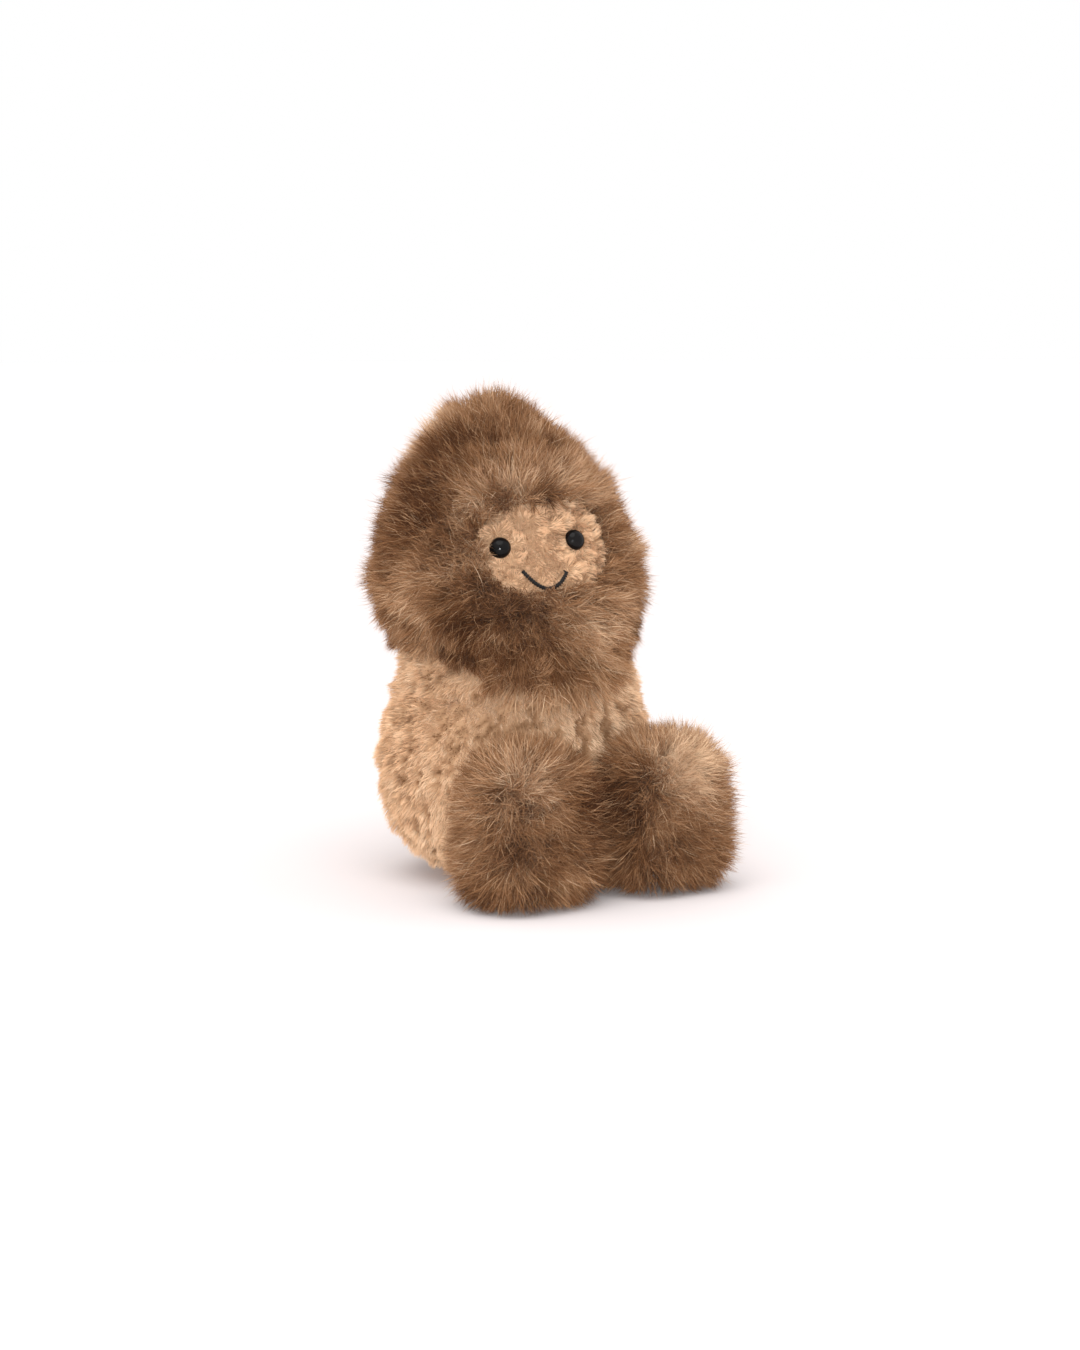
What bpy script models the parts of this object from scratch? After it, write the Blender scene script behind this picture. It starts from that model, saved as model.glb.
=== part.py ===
"""Sitting stuffed monkey: a hood-like fur head, a curly plush body and two block feet.

Metres, +Z up. The toy faces -Y, its left side is +X, and the centre of its base panel is the origin.
"""
import math

import bmesh
import bpy
from mathutils import Matrix, Vector

MM = 0.001

# Fits
CLEARANCE = 0.3 * MM
NECK_CLEARANCE = 0.5 * MM

# Body: a pear whose shoulders are a dome round the neck's pivot
DOME_RADIUS = 34.5 * MM
PIVOT_HEIGHT = 52.0 * MM
BELLY_SIDE_BULGE = 6.8 * MM
BELLY_FRONT_BULGE = 0.6 * MM
BASE_SINK = 3.0 * MM
BASE_RADIUS = 20.0 * MM
BODY_PLUSH = 4.0 * MM
NECK_RADIUS = 14.0 * MM
NECK_DEPTH = 14.0 * MM

# Head, with heights measured from the neck's pivot
HEAD_HALF_WIDTH = 37.0 * MM
HEAD_FRONT = 37.0 * MM
HEAD_BACK = 36.0 * MM
HEAD_WIDEST = 31.0 * MM
HEAD_TOP = 80.5 * MM
HEAD_BOTTOM = -6.0 * MM
HEAD_LEAN = 10.0 * MM
HEAD_TURN = math.radians(-10.9)
HEAD_TILT = math.radians(-4.2)
FUR = 8.5 * MM
BEARD_BULGE = 5.5 * MM
BEARD_DROP = 8.5 * MM
BEARD_HEIGHT = 14.0 * MM
BEARD_SPREAD = 15.0 * MM
BEARD_RIM = 12.0 * MM
BEARD_FLARE = 7.0 * MM
BEARD_SEAM_SETBACK = 4.0 * MM
BROW_BULGE = 3.5 * MM
BROW_RISE = 17.5 * MM
BROW_SPREAD = 8.0 * MM
GUSSET_HALF_WIDTH = 12.0 * MM

# Face, with the window's height measured from the neck's pivot and the rest from the window's middle
WINDOW_HALF_WIDTH = 19.5 * MM
WINDOW_HALF_HEIGHT = 11.8 * MM
WINDOW_HEIGHT = 40.6 * MM
FACE_RECESS = 5.5 * MM
BEARD_SEAM_DROP = 6.5 * MM
EYE_SPACING = 21.0 * MM
EYE_RISE = 0.8 * MM
EYE_RADIUS = 2.9 * MM
EYE_DOME = 2.4 * MM
SHANK_RADIUS = 1.0 * MM
SHANK_LENGTH = 7.5 * MM
WASHER_RADIUS = 3.6 * MM
WASHER_THICKNESS = 1.2 * MM
MOUTH_HALF_WIDTH = 6.2 * MM
MOUTH_DROP = 10.7 * MM
MOUTH_RISE = 4.7 * MM
THREAD_RADIUS = 0.5 * MM

# Feet: rounded blocks sewn to the front of the body
FOOT_HALF_WIDTH = 18.4 * MM
FOOT_HALF_DEPTH = 14.5 * MM
FOOT_HALF_HEIGHT = 21.8 * MM
FOOT_SINK = 1.0 * MM
FOOT_TAPER = 0.08
FEET_GAP = 5.6 * MM
FOOT_OVERLAP = 4.0 * MM
WHORL_RISE = 6.0 * MM
WHORL_RADIUS = 12.0 * MM
WHORL_DIP = 2.8 * MM

# Weighted pouch in the seat
POUCH_HALF_WIDTH = 25.0 * MM
POUCH_HALF_DEPTH = 23.0 * MM
POUCH_HALF_HEIGHT = 11.0 * MM
POUCH_MIDDLE = 8.2 * MM
POUCH_CLOTH = 0.8 * MM
POUCH_MOUTH_RADIUS = 4.0 * MM

# How finely the soft forms are divided
FORM_SEGMENTS = 28
FORM_RINGS = 16
NECK_SEGMENTS = 40
NECK_RINGS = 20
FOOT_SEGMENTS = 20
FOOT_RINGS = 12
POUCH_SEGMENTS = 20
POUCH_RINGS = 10
TURNED_STEPS = 16
ARC_STEPS = 6
WINDOW_SIDES = 40
MOUTH_STEPS = 12
SHARP_ANGLE = math.radians(40.0)

# Further than any face of the toy, for half-space cutters
FAR = 2.0 * (PIVOT_HEIGHT + HEAD_TOP)

BROWN_FUR = (0.235, 0.130, 0.070, 1.0)
TAN_PLUSH = (0.590, 0.370, 0.205, 1.0)
BLACK = (0.006, 0.006, 0.006, 1.0)
FIBRE = (0.800, 0.790, 0.770, 1.0)
COTTON = (0.700, 0.660, 0.600, 1.0)
PELLET = (0.520, 0.540, 0.560, 1.0)

BODY_LOWER_POWER = 6.5
BODY_LOWER_ROOT = 0.5
BULGE_SHIFT = 0.8
HEAD_UPPER_POWER = 1.55
HEAD_UPPER_ROOT = 0.64
HEAD_LOWER_POWER = 2.5
HEAD_LOWER_ROOT = 0.5
FOOT_SQUARENESS = 4.0
WINDOW_SQUARENESS = 2.6


def clear_scene():
    for old in list(bpy.data.objects):
        bpy.data.objects.remove(old, do_unlink=True)


def new_collection(name):
    collection = bpy.data.collections.new(name)
    bpy.context.scene.collection.children.link(collection)
    return collection


def material(name, colour, roughness):
    finish = bpy.data.materials.new(name)
    finish.use_nodes = True
    shader = finish.node_tree.nodes["Principled BSDF"]
    shader.inputs["Base Color"].default_value = colour
    shader.inputs["Roughness"].default_value = roughness
    shader.inputs["Metallic"].default_value = 0.0
    return finish


def add_object(name, data, collection, parent=None):
    piece = bpy.data.objects.new(name, data)
    piece.parent = parent
    collection.objects.link(piece)
    return piece


def add_part(name, mesh, finish, parent=None):
    mesh.shade_smooth()
    mesh.set_sharp_from_angle(angle=SHARP_ANGLE)
    mesh.materials.append(finish)
    return add_object(name, mesh, parts, parent)


def add_cutter(name, mesh, parent=None):
    cutter = add_object(name, mesh, cutters, parent)
    cutter.hide_render = True
    cutter.display_type = "WIRE"
    return cutter


def add_pivot(name, location, rotation=(0.0, 0.0, 0.0)):
    pivot = add_object(name, None, parts)
    pivot.location = location
    pivot.rotation_euler = rotation
    return pivot


def cut(piece, operation, cutter):
    step = piece.modifiers.new(f"{operation.lower()}_{cutter.name}", "BOOLEAN")
    step.operation = operation
    step.solver = "EXACT"
    step.object = cutter


def form_mesh(name, segments, rings, place, floor=None):
    """A ball whose unit vectors go where place() puts them, cut flat at the floor if one is given."""
    mesh = bpy.data.meshes.new(name)
    ball = bmesh.new()
    bmesh.ops.create_uvsphere(ball, u_segments=segments, v_segments=rings, radius=1.0)
    for vertex in ball.verts:
        vertex.co = place(vertex.co.copy())
    if floor is not None:
        everything = list(ball.verts) + list(ball.edges) + list(ball.faces)
        bmesh.ops.bisect_plane(
            ball, geom=everything, plane_co=(0.0, 0.0, floor), plane_no=(0.0, 0.0, 1.0), clear_inner=True)
        bmesh.ops.holes_fill(ball, edges=[edge for edge in ball.edges if edge.is_boundary])
    bmesh.ops.triangulate(ball, faces=list(ball.faces))
    bmesh.ops.recalc_face_normals(ball, faces=list(ball.faces))
    ball.to_mesh(mesh)
    ball.free()
    return mesh


def box_mesh(name, low, high):
    mesh = bpy.data.meshes.new(name)
    box = bmesh.new()
    bmesh.ops.create_cube(box, size=1.0)
    size = Vector(high) - Vector(low)
    middle = (Vector(high) + Vector(low)) / 2.0
    place = Matrix.Translation(middle) @ Matrix.Diagonal(size.to_4d())
    bmesh.ops.transform(box, matrix=place, verts=list(box.verts))
    box.to_mesh(mesh)
    box.free()
    return mesh


def drum_mesh(name, radius, bottom, top, sides=2 * TURNED_STEPS, top_radius=None):
    """An upright closed cylinder, or a cone where its top has another radius."""
    if top_radius is None:
        top_radius = radius
    mesh = bpy.data.meshes.new(name)
    drum = bmesh.new()
    bmesh.ops.create_cone(
        drum, cap_ends=True, segments=sides, radius1=radius, radius2=top_radius, depth=top - bottom,
        matrix=Matrix.Translation((0.0, 0.0, (top + bottom) / 2.0)))
    drum.to_mesh(mesh)
    drum.free()
    return mesh


def turned(name, profile, finish, parent=None):
    """A profile in X and Z, from the top of the axis to its bottom, spun round Z."""
    mesh = bpy.data.meshes.new(name)
    line = bmesh.new()
    points = [line.verts.new((across, 0.0, up)) for across, up in profile]
    for first, second in zip(points, points[1:]):
        line.edges.new((first, second))
    line.to_mesh(mesh)
    line.free()
    piece = add_part(name, mesh, finish, parent)
    spin = piece.modifiers.new("spin", "SCREW")
    spin.steps = TURNED_STEPS
    spin.render_steps = TURNED_STEPS
    spin.use_merge_vertices = True
    spin.merge_threshold = 0.01 * MM
    return piece


def bump(value, centre, spread):
    return math.exp(-((value - centre) / spread) ** 2)


def flat_direction(unit):
    flat = Vector((unit.x, unit.y, 0.0))
    return flat.normalized() if flat.length > 1e-6 else Vector((0.0, 0.0, 0.0))


def body_point(unit, inset):
    """The body's surface, moved in by inset: a dome above the pivot and a full belly below it."""
    radius = DOME_RADIUS - inset
    if unit.z >= 0.0:
        return radius * unit + Vector((0.0, 0.0, PIVOT_HEIGHT))
    drop = min(-unit.z, 1.0)
    belly = math.sin(math.pi * drop ** BULGE_SHIFT)
    ring = max(1.0 - drop ** BODY_LOWER_POWER, 0.0) ** BODY_LOWER_ROOT
    facing = flat_direction(unit)
    return Vector((
        facing.x * ring * (radius + BELLY_SIDE_BULGE * belly),
        facing.y * ring * (radius + BELLY_FRONT_BULGE * belly),
        PIVOT_HEIGHT - drop * (PIVOT_HEIGHT + BASE_SINK - inset)))


def head_point(unit, inset):
    """The head's surface about the neck's pivot: a peaked egg with a brow ridge and a hanging beard."""
    rise = min(abs(unit.z), 1.0)
    if unit.z >= 0.0:
        height = HEAD_WIDEST + rise * (HEAD_TOP - HEAD_WIDEST - inset)
        ring = max(1.0 - rise ** HEAD_UPPER_POWER, 0.0) ** HEAD_UPPER_ROOT
    else:
        height = HEAD_WIDEST - rise * (HEAD_WIDEST - HEAD_BOTTOM - inset)
        ring = max(1.0 - rise ** HEAD_LOWER_POWER, 0.0) ** HEAD_LOWER_ROOT
    facing = flat_direction(unit)
    depth = HEAD_FRONT if unit.y < 0.0 else HEAD_BACK
    front = max(-facing.y, 0.0) ** 2
    beard = front * bump(height, BEARD_HEIGHT, BEARD_SPREAD)
    brow = front * front * bump(height, WINDOW_HEIGHT + BROW_RISE, BROW_SPREAD)
    across = facing.x * ring * (HEAD_HALF_WIDTH - inset)
    along = facing.y * ring * (depth - inset) - BEARD_BULGE * beard - BROW_BULGE * brow
    lean = HEAD_LEAN * (height / HEAD_TOP) ** 2
    return Vector((across, along + lean, height - BEARD_DROP * beard))


def face_point(across, height, inset):
    """Where the face's surface lies at a place across the face, found by walking round the head."""
    low, high = -1.0, 1.0
    for _ in range(40):
        middle = (low + high) / 2.0
        reach = math.sqrt(1.0 - middle * middle)
        side = face_azimuth(across, middle, inset)
        spot = head_point(Vector((reach * math.sin(side), -reach * math.cos(side), middle)), inset)
        if spot.z < height:
            low = middle
        else:
            high = middle
    return spot


def face_azimuth(across, rise, inset):
    reach = math.sqrt(1.0 - rise * rise)
    widest = head_point(Vector((reach, 0.0, rise)), inset).x
    return math.asin(max(-1.0, min(1.0, across / widest)))


def face_axis(across, height, inset):
    """The outward direction of the face there."""
    step = 1.0 * MM
    sideways = face_point(across + step, height, inset) - face_point(across - step, height, inset)
    upwards = face_point(across, height + step, inset) - face_point(across, height - step, inset)
    return sideways.cross(upwards).normalized()


def foot_point(unit, inset, dip):
    """A rounded block that narrows a little towards its top, dished where the front's pile parts."""
    power = FOOT_SQUARENESS
    size = sum(abs(part) ** power for part in unit) ** (-1.0 / power)
    narrow = 1.0 - FOOT_TAPER * unit.z * size
    point = Vector((
        unit.x * size * narrow * (FOOT_HALF_WIDTH - inset),
        unit.y * size * narrow * (FOOT_HALF_DEPTH - inset),
        unit.z * size * (FOOT_HALF_HEIGHT - inset)))
    if point.y < 0.0:
        off_whorl = math.hypot(point.x, point.z - WHORL_RISE) / WHORL_RADIUS
        point.y += dip * math.exp(-off_whorl ** 2)
    return point


def pouch_point(unit, inset):
    middle = BODY_PLUSH + CLEARANCE + POUCH_MIDDLE
    return Vector((
        unit.x * (POUCH_HALF_WIDTH - inset),
        unit.y * (POUCH_HALF_DEPTH - inset),
        unit.z * (POUCH_HALF_HEIGHT - inset) + middle))


def body_form(name, inset):
    return form_mesh(name, FORM_SEGMENTS, FORM_RINGS, lambda unit: body_point(unit, inset), max(inset, 0.0))


def head_form(name, inset):
    return form_mesh(name, FORM_SEGMENTS, FORM_RINGS, lambda unit: head_point(unit, inset))


def foot_form(name, inset, dip=0.0):
    floor = FOOT_SINK - FOOT_HALF_HEIGHT + inset
    return form_mesh(name, FOOT_SEGMENTS, FOOT_RINGS, lambda unit: foot_point(unit, inset, dip), floor)


def pouch_form(name, inset):
    floor = BODY_PLUSH + CLEARANCE + max(inset, 0.0)
    return form_mesh(name, POUCH_SEGMENTS, POUCH_RINGS, lambda unit: pouch_point(unit, inset), floor)


def window_mesh(name, grow):
    """A rounded prism through the front of the head, the outline of the face."""
    mesh = bpy.data.meshes.new(name)
    prism = bmesh.new()
    bmesh.ops.create_cone(prism, cap_ends=True, segments=WINDOW_SIDES, radius1=1.0, radius2=1.0, depth=FAR)
    for vertex in prism.verts:
        turn = math.atan2(vertex.co.y, vertex.co.x)
        size = (abs(math.cos(turn)) ** WINDOW_SQUARENESS + abs(math.sin(turn)) ** WINDOW_SQUARENESS)
        size = size ** (-1.0 / WINDOW_SQUARENESS)
        across = math.cos(turn) * size * (WINDOW_HALF_WIDTH + grow)
        upward = math.sin(turn) * size * (WINDOW_HALF_HEIGHT + grow) + WINDOW_HEIGHT
        vertex.co = Vector((across, -FAR / 2.0 - vertex.co.z, upward))
    bmesh.ops.recalc_face_normals(prism, faces=list(prism.faces))
    prism.to_mesh(mesh)
    prism.free()
    return mesh


def build_body():
    gap = CLEARANCE / 2.0
    lining = add_cutter("body_lining", body_form("body_lining", BODY_PLUSH))
    neck_hole = add_cutter("neck_hole", drum_mesh(
        "neck_hole", NECK_RADIUS + CLEARANCE, PIVOT_HEIGHT + DOME_RADIUS - NECK_DEPTH - CLEARANCE, FAR))
    base_hole = add_cutter("base_hole", drum_mesh(
        "base_hole", BASE_RADIUS + CLEARANCE, -FAR, BODY_PLUSH + CLEARANCE))
    regions = {
        "body_front_panel": ((-FAR, -FAR, -FAR), (FAR, -gap, FAR)),
        "body_back_left_panel": ((gap, gap, -FAR), (FAR, FAR, FAR)),
        "body_back_right_panel": ((-FAR, gap, -FAR), (-gap, FAR, FAR)),
    }
    for name, (low, high) in regions.items():
        panel = add_part(name, body_form(name, 0.0), tan_plush)
        region = add_cutter(f"{name}_region", box_mesh(f"{name}_region", low, high))
        cut(panel, "DIFFERENCE", lining)
        cut(panel, "INTERSECT", region)
        cut(panel, "DIFFERENCE", neck_hole)
        cut(panel, "DIFFERENCE", base_hole)
    add_part("base_panel", drum_mesh("base_panel", BASE_RADIUS, 0.0, BODY_PLUSH), tan_plush)

    pouch_room = add_cutter("pouch_room", pouch_form("pouch_room", -CLEARANCE))
    stuffing = add_part("body_stuffing", body_form("body_stuffing", BODY_PLUSH + CLEARANCE), fibre)
    cut(stuffing, "DIFFERENCE", neck_hole)
    cut(stuffing, "DIFFERENCE", pouch_room)


def build_pouch():
    pouch_top = pouch_point(Vector((0.0, 0.0, 1.0)), 0.0).z
    inside = add_cutter("pouch_inside", pouch_form("pouch_inside", POUCH_CLOTH))
    mouth = add_cutter("pouch_mouth", drum_mesh(
        "pouch_mouth", POUCH_MOUTH_RADIUS, pouch_top - POUCH_HALF_HEIGHT / 2.0, FAR, TURNED_STEPS))
    pouch = add_part("bean_pouch", pouch_form("bean_pouch", 0.0), cotton)
    cut(pouch, "DIFFERENCE", inside)
    cut(pouch, "DIFFERENCE", mouth)
    add_part("bean_fill", pouch_form("bean_fill", POUCH_CLOTH + CLEARANCE), pellet)


def build_neck():
    """The plug keeps the dome's curve on top, so that the head slides over it."""
    pivot = add_pivot("neck_pivot", (0.0, 0.0, PIVOT_HEIGHT))
    edge = math.asin(NECK_RADIUS / DOME_RADIUS)
    arc = [edge * step / ARC_STEPS for step in range(ARC_STEPS + 1)]
    profile = [(DOME_RADIUS * math.sin(turn), DOME_RADIUS * math.cos(turn)) for turn in arc]
    bottom = DOME_RADIUS - NECK_DEPTH
    profile += [(NECK_RADIUS, bottom), (0.0, bottom)]
    turned("neck_stuffing", profile, fibre, pivot)


def build_head():
    gap = CLEARANCE / 2.0
    lining = add_cutter("head_lining", head_form("head_lining", FUR), head_pivot)
    shoulders = add_cutter("shoulder_room", form_mesh(
        "shoulder_room", NECK_SEGMENTS, NECK_RINGS,
        lambda unit: (DOME_RADIUS + NECK_CLEARANCE) * unit), head_pivot)
    dome_rim = math.sqrt((DOME_RADIUS + NECK_CLEARANCE) ** 2 - BEARD_RIM ** 2)
    chest = add_cutter("chest_room", drum_mesh(
        "chest_room", DOME_RADIUS + BEARD_FLARE, -BEARD_RIM, BEARD_RIM, NECK_SEGMENTS, dome_rim), head_pivot)
    window = add_cutter("face_window", window_mesh("face_window", 0.0), head_pivot)
    seam_height = WINDOW_HEIGHT - BEARD_SEAM_DROP
    beard_low = (-FAR, -FAR, -FAR)
    beard_high = (FAR, BEARD_SEAM_SETBACK, seam_height)
    beard_edge = (FAR, BEARD_SEAM_SETBACK + CLEARANCE, seam_height + CLEARANCE)
    beard_region = add_cutter("beard_region", box_mesh("beard_region", beard_low, beard_high), head_pivot)
    beard_room = add_cutter("beard_room", box_mesh("beard_room", beard_low, beard_edge), head_pivot)
    inner, outer = GUSSET_HALF_WIDTH - gap, GUSSET_HALF_WIDTH + gap
    regions = {
        "head_left_panel": ((outer, -FAR, -FAR), (FAR, FAR, FAR)),
        "head_right_panel": ((-FAR, -FAR, -FAR), (-outer, FAR, FAR)),
        "head_crown_panel": ((-inner, -FAR, -FAR), (inner, FAR, FAR)),
    }
    for name, (low, high) in regions.items():
        panel = add_part(name, head_form(name, 0.0), brown_fur, head_pivot)
        region = add_cutter(f"{name}_region", box_mesh(f"{name}_region", low, high), head_pivot)
        cut(panel, "DIFFERENCE", lining)
        cut(panel, "INTERSECT", region)
        cut(panel, "DIFFERENCE", beard_room)
        cut(panel, "DIFFERENCE", window)
        cut(panel, "DIFFERENCE", shoulders)
    beard = add_part("beard_panel", head_form("beard_panel", 0.0), brown_fur, head_pivot)
    cut(beard, "DIFFERENCE", lining)
    cut(beard, "INTERSECT", beard_region)
    cut(beard, "DIFFERENCE", window)
    cut(beard, "DIFFERENCE", shoulders)
    cut(beard, "DIFFERENCE", chest)

    stuffing = add_part("head_stuffing", head_form("head_stuffing", FUR + CLEARANCE), fibre, head_pivot)
    cut(stuffing, "DIFFERENCE", shoulders)
    face = add_part("face_panel", head_form("face_panel", FACE_RECESS), face_plush, head_pivot)
    face_region = add_cutter("face_region", window_mesh("face_region", -CLEARANCE), head_pivot)
    cut(face, "DIFFERENCE", lining)
    cut(face, "INTERSECT", face_region)
    return face, stuffing


def build_eyes(face, stuffing):
    height = WINDOW_HEIGHT + EYE_RISE
    washer_top = -(FUR - FACE_RECESS + 2.0 * CLEARANCE)
    shank_end = -SHANK_LENGTH
    for side, sign in (("left", 1.0), ("right", -1.0)):
        across = sign * EYE_SPACING / 2.0
        spot = face_point(across, height, FACE_RECESS)
        axis = face_axis(across, height, FACE_RECESS)
        facing = axis.to_track_quat("Z", "Y").to_euler()
        seat = add_pivot(f"{side}_eye_seat", spot + axis * CLEARANCE, facing)
        seat.parent = head_pivot
        arc = [math.pi / 2.0 * step / ARC_STEPS for step in range(ARC_STEPS + 1)]
        dome = [(EYE_RADIUS * math.sin(turn), EYE_DOME * math.cos(turn)) for turn in arc]
        shank = [(SHANK_RADIUS, 0.0), (SHANK_RADIUS, shank_end), (0.0, shank_end)]
        turned(f"{side}_eye", dome + shank, black_plastic, seat)

        hole = add_cutter(f"{side}_eye_hole", drum_mesh(
            f"{side}_eye_hole", SHANK_RADIUS + CLEARANCE, -FUR, FUR, TURNED_STEPS), seat)
        cut(face, "DIFFERENCE", hole)
        disc = drum_mesh(
            f"{side}_eye_washer", WASHER_RADIUS, washer_top - WASHER_THICKNESS, washer_top, TURNED_STEPS)
        washer = add_part(f"{side}_eye_washer", disc, black_plastic, seat)
        cut(washer, "DIFFERENCE", hole)
        room = add_cutter(f"{side}_eye_room", drum_mesh(
            f"{side}_eye_room", WASHER_RADIUS + CLEARANCE, shank_end - CLEARANCE, FUR, TURNED_STEPS), seat)
        cut(stuffing, "DIFFERENCE", room)


def build_mouth():
    """A smile of thread, laid on the face along a parabola."""
    line = bpy.data.curves.new("mouth_stitch", "CURVE")
    line.dimensions = "3D"
    line.bevel_depth = THREAD_RADIUS
    line.bevel_resolution = 1
    line.use_fill_caps = True
    spline = line.splines.new("POLY")
    spline.points.add(MOUTH_STEPS)
    lift = THREAD_RADIUS + CLEARANCE
    for index, point in enumerate(spline.points):
        share = 2.0 * index / MOUTH_STEPS - 1.0
        across = share * MOUTH_HALF_WIDTH
        height = WINDOW_HEIGHT - MOUTH_DROP + MOUTH_RISE * share * share
        spot = face_point(across, height, FACE_RECESS) + lift * face_axis(across, height, FACE_RECESS)
        point.co = spot.to_4d()
    line.materials.append(black_thread)
    add_object("mouth_stitch", line, parts, head_pivot)


def build_feet():
    body_room = add_cutter("body_room", body_form("body_room", -CLEARANCE))
    across = FOOT_HALF_WIDTH + FEET_GAP / 2.0
    sideways = across / (DOME_RADIUS + BELLY_SIDE_BULGE)
    surface = (DOME_RADIUS + BELLY_FRONT_BULGE) * math.sqrt(1.0 - sideways ** 2)
    centre_y = -(surface + FOOT_HALF_DEPTH - FOOT_OVERLAP)
    centre_z = FOOT_HALF_HEIGHT - FOOT_SINK
    hip_y = -surface
    hip_z = centre_z + FOOT_HALF_HEIGHT
    gap = CLEARANCE / 2.0
    for side, sign in (("left", 1.0), ("right", -1.0)):
        hip = add_pivot(f"{side}_hip", (sign * across, hip_y, hip_z))
        middle = add_pivot(f"{side}_foot_middle", (0.0, centre_y - hip_y, centre_z - hip_z))
        middle.parent = hip
        lining = add_cutter(f"{side}_foot_lining", foot_form(f"{side}_foot_lining", FUR), middle)
        halves = {
            "front": ((-FAR, -FAR, -FAR), (FAR, -gap, FAR)),
            "back": ((-FAR, gap, -FAR), (FAR, FAR, FAR)),
        }
        for half, (low, high) in halves.items():
            name = f"{side}_foot_{half}_panel"
            panel = add_part(name, foot_form(name, 0.0, WHORL_DIP), brown_fur, middle)
            region = add_cutter(f"{name}_region", box_mesh(f"{name}_region", low, high), middle)
            cut(panel, "DIFFERENCE", lining)
            cut(panel, "INTERSECT", region)
            if half == "back":
                cut(panel, "DIFFERENCE", body_room)
        name = f"{side}_foot_stuffing"
        add_part(name, foot_form(name, FUR + CLEARANCE), fibre, middle)


clear_scene()
parts = new_collection("stuffed_monkey")
cutters = new_collection("cutters")
brown_fur = material("brown_fur", BROWN_FUR, 0.9)
tan_plush = material("tan_plush", TAN_PLUSH, 0.95)
face_plush = material("face_plush", TAN_PLUSH, 0.95)
black_plastic = material("black_plastic", BLACK, 0.12)
black_thread = material("black_thread", BLACK, 0.7)
fibre = material("stuffing_fibre", FIBRE, 0.95)
cotton = material("pouch_cotton", COTTON, 0.9)
pellet = material("pellets", PELLET, 0.4)

head_pivot = add_pivot("head_pivot", (0.0, 0.0, PIVOT_HEIGHT), (0.0, HEAD_TILT, HEAD_TURN))
build_body()
build_pouch()
build_neck()
face_piece, head_fill = build_head()
build_eyes(face_piece, head_fill)
build_mouth()
build_feet()
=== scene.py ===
"""Looks of a sitting stuffed monkey: long mottled fur on head and feet, curly tan plush on body and face."""

import math

import bpy
import numpy as np
from mathutils import Matrix, Vector
from mathutils.kdtree import KDTree


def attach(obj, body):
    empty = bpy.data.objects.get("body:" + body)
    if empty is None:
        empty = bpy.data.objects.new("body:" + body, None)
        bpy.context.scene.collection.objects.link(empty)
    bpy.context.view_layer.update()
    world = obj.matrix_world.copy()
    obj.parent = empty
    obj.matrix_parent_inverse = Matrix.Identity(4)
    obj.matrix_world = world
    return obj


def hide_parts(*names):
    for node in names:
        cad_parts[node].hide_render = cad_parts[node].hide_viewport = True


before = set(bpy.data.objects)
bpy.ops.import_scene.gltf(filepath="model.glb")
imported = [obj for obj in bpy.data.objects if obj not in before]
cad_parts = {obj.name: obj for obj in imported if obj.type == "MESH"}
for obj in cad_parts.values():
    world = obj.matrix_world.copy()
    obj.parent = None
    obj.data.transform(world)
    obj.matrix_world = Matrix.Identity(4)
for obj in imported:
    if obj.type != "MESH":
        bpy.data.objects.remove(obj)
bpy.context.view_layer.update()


# Weighted pouch: a cotton bag, cut as two rounds, turned and gathered shut at the top.
# It lies in the seat on the base panel, so that the toy sits without tipping.
MM = 0.001
POUCH_HALF = np.array((25.0, 23.0, 11.0)) * MM
POUCH_MIDDLE = np.array((0.0, 0.0, 12.5)) * MM
POUCH_FLOOR = 4.4 * MM
POUCH_WRINKLE = 0.3 * MM
POUCH_WRINKLE_SPAN = 7.0 * MM
GATHER_START = 0.7
PLEATS = 16
PLEAT_DEPTH = 0.8 * MM
NEAR_POLE = 89.5


def unit(vectors):
    """The same directions, each one long."""
    return vectors / np.maximum(np.linalg.norm(vectors, axis=-1, keepdims=True), 1e-9)


def ripple(points, wavelength, seed, waves=14):
    """A smooth field that wanders between about -1 and 1, added up from waves in scattered directions."""
    rng = np.random.default_rng(seed)
    ways = unit(rng.normal(size=(waves, 3))) * (2.0 * math.pi / wavelength)
    ways *= rng.uniform(0.7, 1.4, (waves, 1))
    phases = rng.uniform(0.0, 2.0 * math.pi, waves)
    return np.cos(points @ ways.T + phases).sum(axis=1) * math.sqrt(1.0 / waves)


def ring_quads(rings, segments):
    """The quads between closed rings of points that follow one another."""
    row, column = np.meshgrid(np.arange(rings - 1), np.arange(segments), indexing="ij")
    after = (column + 1) % segments
    quads = np.stack((row, row, row + 1, row + 1), axis=-1) * segments
    return (quads + np.stack((column, after, after, column), axis=-1)).reshape(-1, 4)


def ball_grid(segments, rings):
    """Unit vectors in rings from bottom to top, and the quads between them."""
    rise = np.radians(np.linspace(-NEAR_POLE, NEAR_POLE, rings))
    turn = np.linspace(0.0, 2.0 * math.pi, segments, endpoint=False)
    rise, turn = np.meshgrid(rise, turn, indexing="ij")
    units = np.stack((np.cos(rise) * np.cos(turn), np.cos(rise) * np.sin(turn), np.sin(rise)), axis=-1)
    return units.reshape(-1, 3), ring_quads(rings, segments)


def colour_ramp(tree, stops):
    """A ramp node with a colour at each stop's place."""
    ramp = tree.nodes.new("ShaderNodeValToRGB")
    while len(ramp.color_ramp.elements) < len(stops):
        ramp.color_ramp.elements.new(0.5)
    for element, (place, colour) in zip(ramp.color_ramp.elements, stops):
        element.position = place
        element.color = (*colour, 1.0)
    return ramp


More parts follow.
